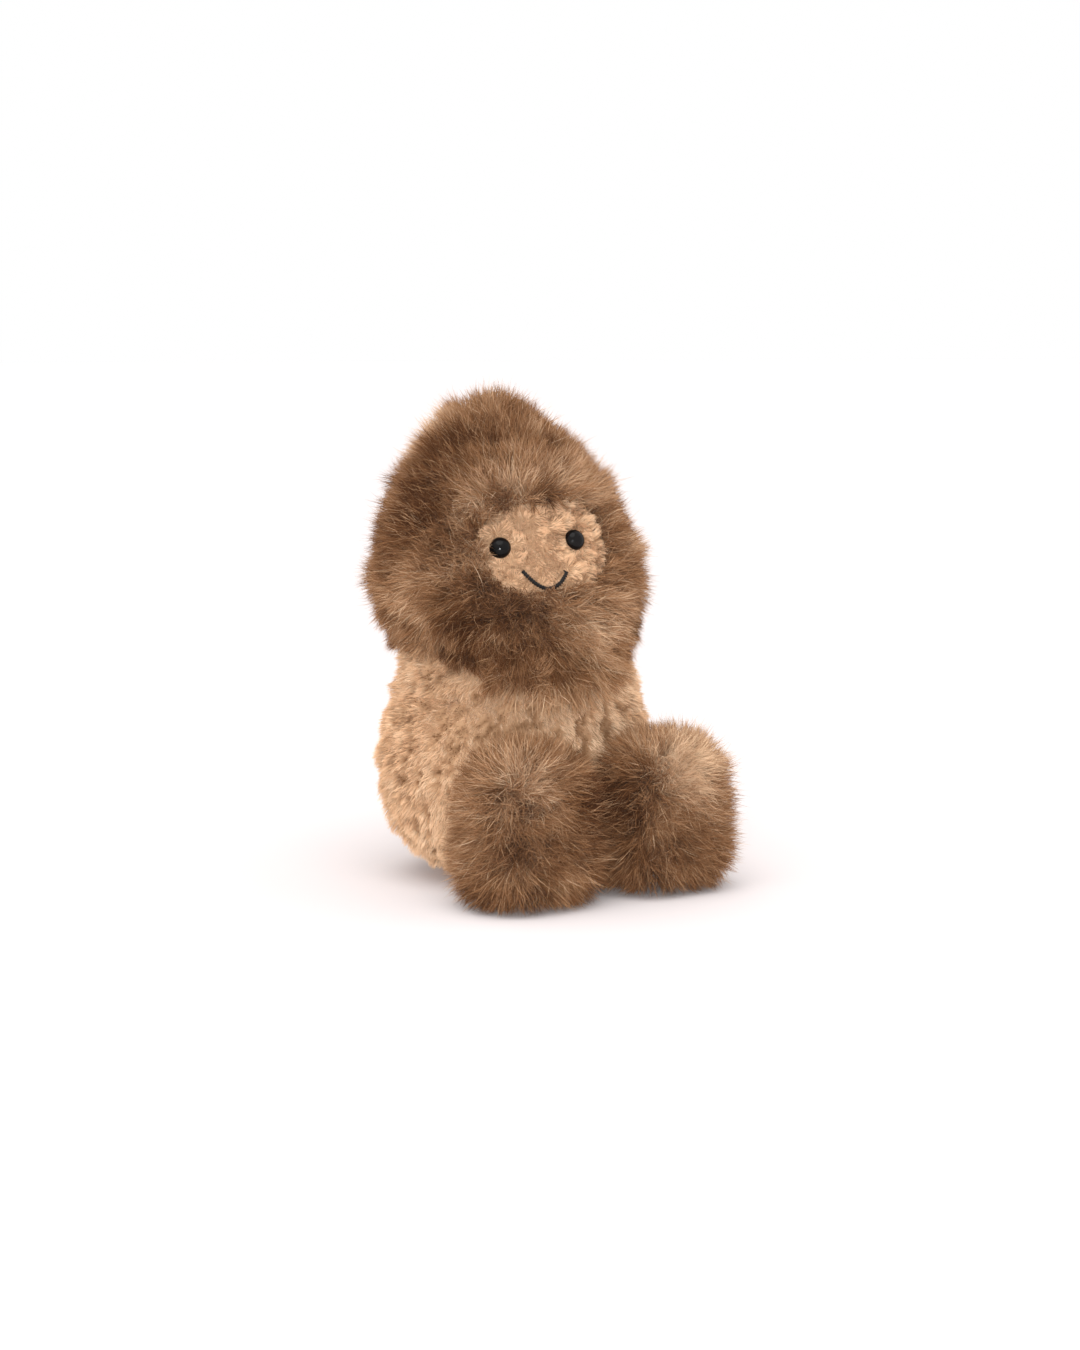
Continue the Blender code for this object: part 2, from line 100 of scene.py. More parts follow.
def new_finish(name, roughness, sheen=0.0, specular=0.5):
    """A new material, with its node tree and its shader."""
    finish = bpy.data.materials.new(name)
    finish.use_nodes = True
    shader = finish.node_tree.nodes["Principled BSDF"]
    shader.inputs["Roughness"].default_value = roughness
    shader.inputs["Sheen Weight"].default_value = sheen
    shader.inputs["Specular IOR Level"].default_value = specular
    return finish, finish.node_tree, shader


def speckled(name, dark, pale, scale, roughness, specular=0.5):
    """A finish whose colour drifts between two near shades."""
    finish, tree, shader = new_finish(name, roughness, specular=specular)
    noise = tree.nodes.new("ShaderNodeTexNoise")
    noise.inputs["Scale"].default_value = scale
    noise.inputs["Detail"].default_value = 4.0
    place = tree.nodes.new("ShaderNodeTexCoord")
    ramp = colour_ramp(tree, ((0.35, dark), (0.65, pale)))
    tree.links.new(place.outputs["Object"], noise.inputs["Vector"])
    tree.links.new(noise.outputs["Fac"], ramp.inputs["Fac"])
    tree.links.new(ramp.outputs["Color"], shader.inputs["Base Color"])
    return finish


def new_piece(name, points, faces, finish, palette=None):
    """A mesh piece from points and arrays of faces; palette holds each point's place on the colour chart."""
    mesh = bpy.data.meshes.new(name)
    corners = np.concatenate([part.ravel() for part in faces]).astype(np.int32)
    sizes = np.concatenate([np.full(len(part), part.shape[1]) for part in faces])
    mesh.vertices.add(len(points))
    mesh.vertices.foreach_set("co", points.astype(np.float32).ravel())
    mesh.loops.add(len(corners))
    mesh.loops.foreach_set("vertex_index", corners)
    mesh.polygons.add(len(sizes))
    mesh.polygons.foreach_set("loop_start", (np.cumsum(sizes) - sizes).astype(np.int32))
    mesh.update(calc_edges=True)
    mesh.shade_smooth()
    if palette is not None:
        chart = mesh.uv_layers.new(name="OFBake")
        chart.data.foreach_set("uv", palette[corners].astype(np.float32).ravel())
    mesh.materials.append(finish)
    piece = bpy.data.objects.new(name, mesh)
    bpy.context.scene.collection.objects.link(piece)
    return piece


pouch_units, pouch_quads = ball_grid(72, 40)
pouch_points = pouch_units * POUCH_HALF + POUCH_MIDDLE
pouch_points += pouch_units * (POUCH_WRINKLE * ripple(pouch_points, POUCH_WRINKLE_SPAN, seed=3))[:, None]
gather = np.clip((pouch_units[:, 2] - GATHER_START) / (1.0 - GATHER_START), 0.0, 1.0)
pleats = np.cos(PLEATS * np.arctan2(pouch_units[:, 1], pouch_units[:, 0]))
pouch_points[:, 2] -= PLEAT_DEPTH * gather * (1.0 - gather) * (1.0 + pleats)
pouch_points[:, 2] = np.maximum(pouch_points[:, 2], POUCH_FLOOR)
cotton = speckled(
    "pouch_cotton", dark=(0.62, 0.58, 0.52), pale=(0.74, 0.70, 0.64), scale=900.0, roughness=0.9,
    specular=0.2)
pouch = new_piece("seat_pouch", pouch_points, [pouch_quads], cotton)
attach(pouch, "torso")
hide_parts("bean_pouch")


# Pellets: small grey plastic beads, poured loose into the pouch.
# They are one piece here, because they only ever move together.
PELLET_HALF = np.array((1.5, 1.5, 1.1)) * MM
PELLET_SPACING = 3.1 * MM
PELLET_JITTER = 0.25
PELLET_ROWS = 9
PELLET_LAYERS = 4
PELLET_CLEARANCE = 2.6 * MM
PELLET_LIFT = 2.0 * MM
GOLDEN = (1.0 + math.sqrt(5.0)) / 2.0
bead = unit(np.array([
    (-1, GOLDEN, 0), (1, GOLDEN, 0), (-1, -GOLDEN, 0), (1, -GOLDEN, 0), (0, -1, GOLDEN), (0, 1, GOLDEN),
    (0, -1, -GOLDEN), (0, 1, -GOLDEN), (GOLDEN, 0, -1), (GOLDEN, 0, 1), (-GOLDEN, 0, -1), (-GOLDEN, 0, 1)]))
bead_faces = np.array([
    (0, 11, 5), (0, 5, 1), (0, 1, 7), (0, 7, 10), (0, 10, 11), (1, 5, 9), (5, 11, 4), (11, 10, 2), (10, 7, 6),
    (7, 1, 8), (3, 9, 4), (3, 4, 2), (3, 2, 6), (3, 6, 8), (3, 8, 9), (4, 9, 5), (2, 4, 11), (6, 2, 10),
    (8, 6, 7), (9, 8, 1)])
rows = np.arange(-PELLET_ROWS, PELLET_ROWS + 1) * PELLET_SPACING
layers = np.arange(-PELLET_LAYERS, PELLET_LAYERS + 1) * PELLET_SPACING
lattice = np.stack(np.meshgrid(rows, rows, layers, indexing="ij"), axis=-1).reshape(-1, 3)
lattice += np.random.default_rng(5).uniform(-PELLET_JITTER, PELLET_JITTER, lattice.shape) * PELLET_SPACING
inside_pouch = np.linalg.norm(lattice / (POUCH_HALF - PELLET_CLEARANCE), axis=1) < 1.0
lattice = lattice[inside_pouch] + POUCH_MIDDLE
lattice = lattice[lattice[:, 2] > POUCH_FLOOR + PELLET_LIFT]
pellet_points = (lattice[:, None, :] + bead * PELLET_HALF).reshape(-1, 3)
pellet_faces = (np.arange(len(lattice))[:, None, None] * len(bead) + bead_faces).reshape(-1, 3)
pellet_plastic = speckled(
    "pellets", dark=(0.48, 0.50, 0.52), pale=(0.56, 0.58, 0.60), scale=300.0, roughness=0.4)
pellets = new_piece("seat_pellets", pellet_points, [pellet_faces], pellet_plastic)
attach(pellets, "torso")
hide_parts("bean_fill")


# Stuffing: teased white polyester fibre, pushed in by hand until each skin is full.
# One wad fills each skin, and a smaller plug sits in the neck opening.
FIBRE_TUFT = 4.0 * MM
FIBRE_GRAIN = 1.4 * MM
FIBRE_DENT = 1.2 * MM
fibre = speckled(
    "stuffing_fibre", dark=(0.72, 0.71, 0.69), pale=(0.84, 0.83, 0.81), scale=400.0, roughness=0.95,
    specular=0.2)
tufts = bpy.data.textures.new("fibre_tufts", "CLOUDS")
tufts.noise_scale = FIBRE_TUFT
for node, body in (
        ("body_stuffing", "torso"), ("neck_stuffing", "neck"), ("head_stuffing", "head"),
        ("left_foot_stuffing", "left_foot"), ("right_foot_stuffing", "right_foot")):
    wad = bpy.data.objects.new(node.replace("stuffing", "fibre"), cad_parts[node].data.copy())
    bpy.context.scene.collection.objects.link(wad)
    wad.data.materials.clear()
    wad.data.materials.append(fibre)
    even = wad.modifiers.new("even", "REMESH")
    even.voxel_size = FIBRE_GRAIN
    even.use_smooth_shade = True
    # With the middle level at 1 the tufts only dent the wad, so it stays inside its skin.
    lumps = wad.modifiers.new("lumps", "DISPLACE")
    lumps.texture = tufts
    lumps.strength = FIBRE_DENT
    lumps.mid_level = 1.0
    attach(wad, body)
    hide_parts(node)


# Body: short curly tan plush on a knitted backing, a front panel and two back panels.
# The pile is brushed down and pocked all over with small pits where the curls part.
DOME_RADIUS = 34.5 * MM
PIVOT_HEIGHT = 52.0 * MM
BELLY_SIDE_BULGE = 6.8 * MM
BELLY_FRONT_BULGE = 0.6 * MM
BULGE_SHIFT = 0.8
SEAT_ROUNDNESS = 6.5
BASE_SINK = 3.0 * MM
BODY_BACKING_DEPTH = 3.0 * MM
BODY_PILE = 3.1 * MM
PLUSH_LENGTHS = (0.8, 1.15)
BODY_HAIRS = 150000
BODY_HAIR_WIDTH = 0.165 * MM
BODY_FLOOR = 0.15 * MM
HEM_CLEARANCE = 0.3 * MM
COLLAR_HEIGHT = 66.0 * MM
COLLAR_FADE = 6.0 * MM
CHEST_DEPTH = 30.0 * MM
LUMP_HEIGHT = 0.8 * MM
LUMP_SPAN = 9.0 * MM
DEEPEST_DENT = 0.9 * MM
PIT_CANDIDATES = 3000
PIT_SPACING = 4.0 * MM
PIT_SPACINGS = (0.6, 1.6)
PIT_RADIUS = 1.35 * MM
PIT_RADII = (0.6, 1.2)
PIT_STRENGTHS = (0.7, 1.0)
CHEST_PIT_WIDER = 0.20
BACK_PIT_FAINTER = 0.32
PIT_STEEPNESS = 4
PIT_STRETCH = np.array((1.0, 1.0, 0.65))
PIT_RAGGED = 0.75 * MM
PIT_RAGGED_SPAN = 3.0 * MM
PIT_SINK = 1.1 * MM
PIT_TAIL = 1.6 * MM
PIT_TAIL_SWAY = 0.8
PIT_TAIL_SHARE = 0.6
PARTING_RADIUS = 2.4 * MM
PARTING_PULL = 0.9
CLOSE_AHEAD = 1.3 * MM
FAR_AHEAD = 2.4 * MM
BODY_FLOW = 0.75
WANDER_SPAN = 8.0 * MM
STREAK_SPAN = 2.0 * MM
STREAK_STRETCH = np.array((1.0, 1.0, 0.3))
BODY_TONE = 0.77
CHEST_PAINTED_LIGHT = 0.20
PIT_PAINTED_SHADE = 1.05
PIT_SHORTER = 0.80
WIDTH_RANGE = (0.7, 1.2)
ROOT_STAND = 0.25
RIBBON_TWIST = 1.1
RIBBON_TAPER = 0.6
RIBBON_TONE_SPREAD = 0.01
CHART_MARGIN = 0.002
BACKING_PAINTED_SHADE = 0.02
BACKING_GRAIN = 1e5
PILE_SPECULAR = 0.12
DOWN = np.array((0.0, 0.0, -1.0))
LEVEL = np.array((1.0, 1.0, 0.0))


def body_surface(units, inset):
    """The body's mean pile surface, moved in by inset: a dome over the pivot and a full belly below it."""
    radius = DOME_RADIUS - inset
    drop = np.clip(-units[:, 2], 0.0, 1.0)
    belly = np.sin(math.pi * drop ** BULGE_SHIFT)
    dome_ring = np.hypot(units[:, 0], units[:, 1])
    ring = np.where(units[:, 2] >= 0.0, dome_ring, np.sqrt(1.0 - drop ** SEAT_ROUNDNESS))
    flat = unit(units * LEVEL)
    height = np.where(
        units[:, 2] >= 0.0, PIVOT_HEIGHT + radius * units[:, 2],
        PIVOT_HEIGHT - drop * (PIVOT_HEIGHT + BASE_SINK - inset))
    return np.stack((
        flat[:, 0] * ring * (radius + BELLY_SIDE_BULGE * belly),
        flat[:, 1] * ring * (radius + BELLY_FRONT_BULGE * belly),
        np.maximum(height, inset)), axis=-1)


def outward(points, quads):
    """Each point's normal, averaged from the quads round it."""
    a, b, c, d = (points[quads[:, k]] for k in range(4))
    facing = np.cross(c - a, d - b)
    normals = np.zeros_like(points)
    for k in range(4):
        np.add.at(normals, quads[:, k], facing)
    return unit(normals)


def scatter(fields, quads, count, rng):
    """The value of each field at places spread evenly over the quads; the first field is the points."""
    a, b, c, d = (fields[0][quads[:, k]] for k in range(4))
    area = np.linalg.norm(np.cross(c - a, d - b), axis=1)
    chosen = quads[rng.choice(len(quads), size=count, p=area / area.sum())]
    across, along = rng.random((2, count, 1))
    shares = ((1 - across) * (1 - along), across * (1 - along), across * along, (1 - across) * along)
    return [sum(share * field[chosen[:, k]] for k, share in enumerate(shares)) for field in fields]


def spread_out(candidates, spacing, looseness, rng):
    """The candidates that keep a spacing from those before them, drawn between two shares of it."""
    picks = []
    for candidate in candidates:
        gaps = np.linalg.norm(np.array(picks).reshape(-1, 3) - candidate, axis=1)
        if not picks or gaps.min() > spacing * rng.uniform(*looseness):
            picks.append(candidate)
    return np.array(picks)


def tree_of(targets):
    """A search tree of the targets."""
    tree = KDTree(len(targets))
    for index, target in enumerate(targets):
        tree.insert(target, index)
    tree.balance()
    return tree


def nearest(points, targets):
    """For each point, which target is nearest and how far it is."""
    tree = tree_of(targets)
    index, distance = zip(*[tree.find(point)[1:] for point in points])
    return np.array(index), np.array(distance)


def bump(value, centre, spread):
    """1 at the centre, falling to 0 a few spreads away."""
    return np.exp(-((value - centre) / spread) ** 2)


def drift(points, wavelength, seed):
    """A direction that wanders from place to place: one ripple for each axis."""
    return np.stack([ripple(points, wavelength, seed + axis) for axis in range(3)], axis=-1)


def flattened(ways, normals):
    """What is left of each direction along the surface."""
    return ways - (ways * normals).sum(axis=1, keepdims=True) * normals


def along_surface(ways, normals):
    return unit(flattened(ways, normals))


def comb(roots, normals, flow, length, lift, tangle, hairs_per_lock, lock_pull, rng, droop=0.0):
    """Middle, tip and lock of each hair: it stands by lift, leans with the flow and joins its lock."""
    count = len(roots)
    lift, tangle, droop = (np.reshape(value, (-1, 1)) for value in (lift, tangle, droop))
    first = normals * (lift + ROOT_STAND) + flow * (1.0 - lift)
    first = unit(first + 0.5 * tangle * rng.normal(size=(count, 3)))
    last = unit(normals * lift + flow * (1.2 - lift) + tangle * rng.normal(size=(count, 3)) + droop * DOWN)
    middle = roots + first * (0.5 * length)[:, None]
    tips = middle + last * (0.5 * length)[:, None]
    leaders = rng.choice(count, size=max(count // hairs_per_lock, 1), replace=False)
    which, _ = nearest(roots, roots[leaders])
    leader = leaders[which]
    pull = rng.uniform(0.3, 1.0, len(leaders))[which][:, None] * np.reshape(lock_pull, (-1, 1))
    middle = middle + 0.4 * pull * (middle[leader] - middle)
    tips = tips + pull * (tips[leader] - tips)
    return middle, tips, which


def those(keep, *arrays):
    """The kept rows of each array."""
    return [array[keep] for array in arrays]


def on_chart(chart):
    return np.clip(chart, CHART_MARGIN, 1.0 - CHART_MARGIN)


def ribbons(roots, middle, tips, normals, width, tone, steps, rng):
    """Each hair as a thin ribbon that tapers to its tip: points, faces and places on the colour chart."""
    count = len(roots)
    axis = unit(tips - roots)
    side = unit(np.cross(axis, normals) + 0.05 * rng.normal(size=(count, 3)))
    twist = rng.uniform(-RIBBON_TWIST, RIBBON_TWIST, (count, 1))
    side = side * np.cos(twist) + np.cross(axis, side) * np.sin(twist)
    points, chart = [], []
    for step in range(steps):
        t = step / steps
        place = (1 - t) ** 2 * roots + 2 * t * (1 - t) * middle + t * t * tips
        half = side * (0.5 * width * (1.0 - RIBBON_TAPER * t * t))[:, None]
        points += [place - half, place + half]
        for edge_tone in (tone - RIBBON_TONE_SPREAD, tone + RIBBON_TONE_SPREAD):
            chart.append(np.stack((edge_tone, np.full(count, t)), axis=-1))
    points.append(tips)
    chart.append(np.stack((tone, np.ones(count)), axis=-1))
    per_hair = 2 * steps + 1
    base = (np.arange(count) * per_hair)[:, None]
    quads = [base + np.array((2 * k, 2 * k + 1, 2 * k + 3, 2 * k + 2)) for k in range(steps - 1)]
    ends = base + np.array((2 * steps - 2, 2 * steps - 1, 2 * steps))
    points = np.stack(points, axis=1).reshape(-1, 3)
    chart = np.stack(chart, axis=1).reshape(-1, 2)
    return points, np.concatenate(quads), ends, on_chart(chart)


def furred(name, backing, hairs, finish):
    """One piece from its backing (points, quads, tone) and its hairs, all on one colour chart."""
    skin_points, skin_quads, skin_tone = backing
    used, skin_quads = np.unique(skin_quads, return_inverse=True)
    skin_quads = skin_quads.reshape(-1, 4)
    skin_points = skin_points[used]
    # The backing lies at the roots' end of the chart, a little unevenly, so it takes the roots' painted
    # shade.
    skin_painted_shade = BACKING_PAINTED_SHADE + BACKING_PAINTED_SHADE * np.sin(BACKING_GRAIN * skin_points[:, 2])
    skin_chart = on_chart(np.stack((skin_tone[used], skin_painted_shade), axis=-1))
    hair_points, hair_quads, hair_ends, hair_chart = hairs
    shift = len(skin_points)
    faces = [skin_quads, hair_quads + shift, hair_ends + shift]
    points = np.concatenate((skin_points, hair_points))
    return new_piece(name, points, faces, finish, np.concatenate((skin_chart, hair_chart)))


def pile_finish(name, tones, tips_and_root_shade, roughness, sheen):
    """A finish read from the colour chart: tone from hair to hair; from root to tip, painted shade of the
    pile at the root and the hair's own paler tips.
    """
    finish, tree, shader = new_finish(name, roughness, sheen, PILE_SPECULAR)
    chart = tree.nodes.new("ShaderNodeUVMap")
    chart.uv_map = "OFBake"
    split = tree.nodes.new("ShaderNodeSeparateXYZ")
    tone = colour_ramp(tree, tones)
    shade = colour_ramp(tree, [(place, (value, value, value)) for place, value in tips_and_root_shade])
    mix = tree.nodes.new("ShaderNodeMix")
    mix.data_type = "RGBA"
    mix.blend_type = "MULTIPLY"
    mix.inputs["Factor"].default_value = 1.0
    tree.links.new(chart.outputs["UV"], split.inputs["Vector"])
    tree.links.new(split.outputs["X"], tone.inputs["Fac"])
    tree.links.new(split.outputs["Y"], shade.inputs["Fac"])
    tree.links.new(tone.outputs["Color"], mix.inputs["A"])
    tree.links.new(shade.outputs["Color"], mix.inputs["B"])
    tree.links.new(mix.outputs["Result"], shader.inputs["Base Color"])
    return finish


TAN_TONES = (
    (0.0, (0.24, 0.115, 0.050)), (0.35, (0.60, 0.360, 0.200)), (0.7, (0.82, 0.545, 0.335)),
    (1.0, (0.92, 0.675, 0.455)))
# Along each hair: painted shade of the pile darkens the root, and the tips are the hair's own paler colour.
TAN_PALE_TIPS_AND_ROOT_SHADE = ((0.0, 0.65), (0.5, 0.95), (1.0, 1.0))
tan_plush = pile_finish("tan_plush", TAN_TONES, TAN_PALE_TIPS_AND_ROOT_SHADE, roughness=0.85, sheen=0.05)

rng = np.random.default_rng(11)
body_units, body_quads = ball_grid(160, 110)
body_skin = body_surface(body_units, BODY_BACKING_DEPTH)
body_normals = outward(body_skin, body_quads)
pit_candidates = scatter((body_skin,), body_quads, PIT_CANDIDATES, rng)[0]
pits = spread_out(pit_candidates, PIT_SPACING, PIT_SPACINGS, rng)
tails = pits + PIT_TAIL * (DOWN + PIT_TAIL_SWAY * rng.normal(size=pits.shape))
pits = np.concatenate((pits, tails[rng.random(len(pits)) < PIT_TAIL_SHARE]))
# Pits are a little wider on the chest than round the back, and deeper and darker there, with more painted
# shade.
pit_front = np.clip(-pits[:, 1] / CHEST_DEPTH, 0.0, 1.0)
pit_radii = PIT_RADIUS * rng.uniform(*PIT_RADII, len(pits)) * (1.0 + CHEST_PIT_WIDER * pit_front)
pit_strengths = rng.uniform(*PIT_STRENGTHS, len(pits)) * (1.0 - BACK_PIT_FAINTER * (1.0 - pit_front))


def pit_depth(points):
    """How far into a pit each place is, from 0 to 1, and which pit; pits are taller than they are wide."""
    ragged = points + PIT_RAGGED * drift(points, PIT_RAGGED_SPAN, seed=24)
    which, distance = nearest(ragged * PIT_STRETCH, pits * PIT_STRETCH)
    return pit_strengths[which] * np.exp(-(distance / pit_radii[which]) ** PIT_STEEPNESS), which


def swell(points, pitted):
    """How far the stuffing pushes the plush out into lumps and the pits draw it in."""
    push = LUMP_HEIGHT * ripple(points, LUMP_SPAN, seed=22) - PIT_SINK * pitted
    return np.maximum(push, -DEEPEST_DENT)[:, None]


body_roots, body_facing = scatter((body_skin, body_normals), body_quads, BODY_HAIRS, rng)
body_facing = unit(body_facing)
shown = (body_roots[:, 2] < COLLAR_HEIGHT) & (body_roots[:, 2] > BODY_BACKING_DEPTH + HEM_CLEARANCE)
body_roots, body_facing = those(shown, body_roots, body_facing)
count = len(body_roots)
body_pits, which_pit = pit_depth(body_roots)
# Tone: painted light on the chest against the beard's shadow, streaked down the pile, and painted shade in
# the pits.
chest = np.clip(-body_roots[:, 1] / CHEST_DEPTH, 0.0, 1.0)
body_tone = BODY_TONE + CHEST_PAINTED_LIGHT * chest - PIT_PAINTED_SHADE * body_pits
body_tone += 0.05 * ripple(body_roots, LUMP_SPAN, seed=21)
body_tone += 0.06 * ripple(body_roots * STREAK_STRETCH, STREAK_SPAN, seed=20)
body_roots = body_roots + body_facing * swell(body_roots, body_pits)
# Length: short in the pits and under the collar.
body_length = BODY_PILE * (1.0 - PIT_SHORTER * body_pits) * rng.uniform(*PLUSH_LENGTHS, count)
body_length *= np.clip((COLLAR_HEIGHT - body_roots[:, 2]) / COLLAR_FADE, 0.25, 1.0)
# Flow: down the body, parted round each pit.
from_pit = body_roots - pits[which_pit]
parting = PARTING_PULL * bump(np.linalg.norm(from_pit, axis=1), 0.0, PARTING_RADIUS)[:, None]
body_flow = DOWN + 0.3 * drift(body_roots, WANDER_SPAN, seed=27) + parting * unit(from_pit)
body_flow = along_surface(body_flow, body_facing) * BODY_FLOW
# Hairs that would fall across a pit are shorter, so that the pit stays open, and darker with the pit's
# painted shade.
close_ahead, _ = pit_depth(body_roots + CLOSE_AHEAD * body_flow)
far_ahead, _ = pit_depth(body_roots + FAR_AHEAD * body_flow)
body_length *= (1.0 - 0.85 * close_ahead) * (1.0 - 0.60 * far_ahead)
body_tone -= np.maximum(0.80 * close_ahead, 0.28 * far_ahead)
body_middle, body_tips, lock = comb(
    body_roots, body_facing, body_flow, body_length, lift=0.60, tangle=0.24, hairs_per_lock=7, lock_pull=0.40,
    rng=rng)
body_tone += 0.05 * rng.normal(size=count) + 0.06 * rng.normal(size=lock.max() + 1)[lock]
body_width = BODY_HAIR_WIDTH * rng.uniform(*WIDTH_RANGE, count)
skin_pits, _ = pit_depth(body_skin)
body_skin = body_skin + body_normals * swell(body_skin, skin_pits)
# The backing is darker in the pits: painted shade of the hollows.
body_skin_tone = 0.5 - 0.5 * skin_pits
for above_floor in (body_tips, body_middle, body_skin):
    above_floor[:, 2] = np.maximum(above_floor[:, 2], BODY_FLOOR)
quad_middle = body_skin[body_quads].mean(axis=1)
for name, sides in (
        ("body_front", lambda p: p[:, 1] < 0.0),
        ("body_back_left", lambda p: (p[:, 1] >= 0.0) & (p[:, 0] >= 0.0)),
        ("body_back_right", lambda p: (p[:, 1] >= 0.0) & (p[:, 0] < 0.0))):
    kept = those(
        sides(body_roots), body_roots, body_middle, body_tips, body_facing, body_width, body_tone)
    hairs = ribbons(*kept, steps=2, rng=rng)
    backing = (body_skin, body_quads[sides(quad_middle)], body_skin_tone)
    panel = furred(f"{name}_plush", backing, hairs, tan_plush)
    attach(panel, "torso")
    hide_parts(f"{name}_panel")


# Base: a round of the same plush, pile pressed flat, sewn into the bottom of the body.
# It is what the toy sits on.
BASE_RADIUS = 20.0 * MM
BASE_THICKNESS = 3.6 * MM
BASE_SIDES = 96
# Rings from the seam down and in to the middle: share of the radius, and height.
BASE_RINGS = (
    (1.0, BASE_THICKNESS), (1.02, 2.0 * MM), (1.0, 0.5 * MM), (0.96, 0.05 * MM), (0.7, 0.02 * MM),
    (0.4, 0.02 * MM), (0.02, 0.02 * MM))


def turned(profile, sides):
    """A round shape from the radius and height of each of its rings: points and quads."""
    turn = np.linspace(0.0, 2.0 * math.pi, sides, endpoint=False)
    rings = [np.stack((radius * np.cos(turn), radius * np.sin(turn), np.full(sides, height)), axis=-1)
             for radius, height in profile]
    return np.concatenate(rings), ring_quads(len(profile), sides)


base_points, base_quads = turned([(BASE_RADIUS * share, height) for share, height in BASE_RINGS], BASE_SIDES)
base_chart = np.stack((
    np.clip(0.55 + 0.12 * ripple(base_points, 4.0 * MM, seed=31), 0.01, 0.99),
    np.clip(0.6 + 0.2 * ripple(base_points, 3.0 * MM, seed=32), 0.01, 0.99)), axis=-1)
base = new_piece("base_plush", base_points, [base_quads[:, ::-1]], tan_plush, base_chart)
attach(base, "torso")
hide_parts("base_panel")


# Head: a hood of long mottled brown fur, two sides and a crown gusset, with a beard band below the face.
# The panels are sewn together and stuffed tight, and the cup underneath sits over the shoulders.
# The pile lies away from the face window, fringes it above, stands over the peak and hangs from the beard.
HEAD_HALF_WIDTH = 37.0 * MM
HEAD_FRONT = 37.0 * MM
HEAD_BACK = 36.0 * MM
HEAD_WIDEST = 31.0 * MM
HEAD_TOP = 80.5 * MM
HEAD_BOTTOM = -6.0 * MM
HEAD_LEAN = 10.0 * MM
HEAD_TURN = math.radians(-10.9)
HEAD_TILT = math.radians(-4.2)
HEAD_PLACE = Matrix.Translation((0.0, 0.0, PIVOT_HEIGHT)) @ Matrix.Rotation(HEAD_TURN, 4, "Z")
HEAD_PLACE = HEAD_PLACE @ Matrix.Rotation(HEAD_TILT, 4, "Y")
PEAK_SHARPNESS = 1.55
PEAK_FULLNESS = 0.64
CHIN_ROUNDNESS = 2.5
BEARD_BULGE = 5.5 * MM
BEARD_DROP = 8.5 * MM
BEARD_HEIGHT = 14.0 * MM
BEARD_SPREAD = 15.0 * MM
BEARD_SEAM_HEIGHT = 34.1 * MM
BEARD_SEAM_SETBACK = 4.0 * MM
BROW_BULGE = 3.5 * MM
BROW_HEIGHT = 58.1 * MM
BROW_SPREAD = 8.0 * MM
GUSSET_HALF_WIDTH = 12.0 * MM
WINDOW_HALF = (18.4 * MM, 11.6 * MM)
WINDOW_SHIFT = 3.2 * MM
WINDOW_HEIGHT = 40.6 * MM
WINDOW_SQUARENESS = 2.6
PARTING_POINT = np.array((1.0 * MM, -30.0 * MM, WINDOW_HEIGHT))
PARTING_STRETCH = np.array((0.6, 0.6, 1.0))
PARTING_START = 10.0 * MM
PARTING_FADE = 12.0 * MM
CUP_CLEARANCE = 1.0 * MM
CUP_FLARE = 0.25
CUP_TOP = 4.0 * MM
CUP_DEPTH = 16.0 * MM
RIM_FADE = 9.0 * MM
FUR_BACKING_DEPTH = 5.6 * MM
FUR_PILE = 9.8 * MM
FUR_LENGTHS = (0.78, 1.12)
FUR_HAIR_WIDTH = 0.185 * MM
FUR_TONE = 0.40
FUR_LIFT = 0.66
FUR_LOCK = 12
FINE_MOTTLE = 7.0 * MM
WISP_SPAN = 6.0 * MM
WISP_SWAY = 0.9
HEAD_HAIRS = 118000
HEAD_GUARD_SHARE = 0.12
HEAD_GUARD_LONGER = 1.12
GUARD_PALER = 0.25
GUARD_TONE = 0.50
GUARD_THINNER = 0.2
GUARD_STRAY = 0.15
HAIR_TONE_SPREAD = 0.10
CHEEK_FADE = 0.25
BEARD_HANG_HEIGHT = 16.0 * MM
CHEEK_HANG_RISE = 18.0 * MM
HANG_FADE = 14.0 * MM
FRINGE_WIDTH = 0.20
FRINGE_START = WINDOW_HEIGHT - 7.2 * MM
FRINGE_FADE = 6.0 * MM
FRINGE_SPAN = 5.0 * MM
FRINGE_SHORTER = 0.30
FRINGE_FLATTER = 0.22
RIM_SHORTER = 0.40
RIM_FLATTER = 0.42
CHEEK_FLATTER = 0.10
BEARD_LONGER = 0.24
CHIN_EDGE_SHORTER = 0.45
# Where the pile is longer or shorter, in mm in the head's own frame: middle, radius, and by what share.
PILE_LOBES = (
    ((2.0, 2.0, 74.0), 7.0, 0.15), ((-12.0, 6.0, 70.0), 6.0, 0.15), ((-33.0, -8.0, 31.0), 13.0, -0.16))
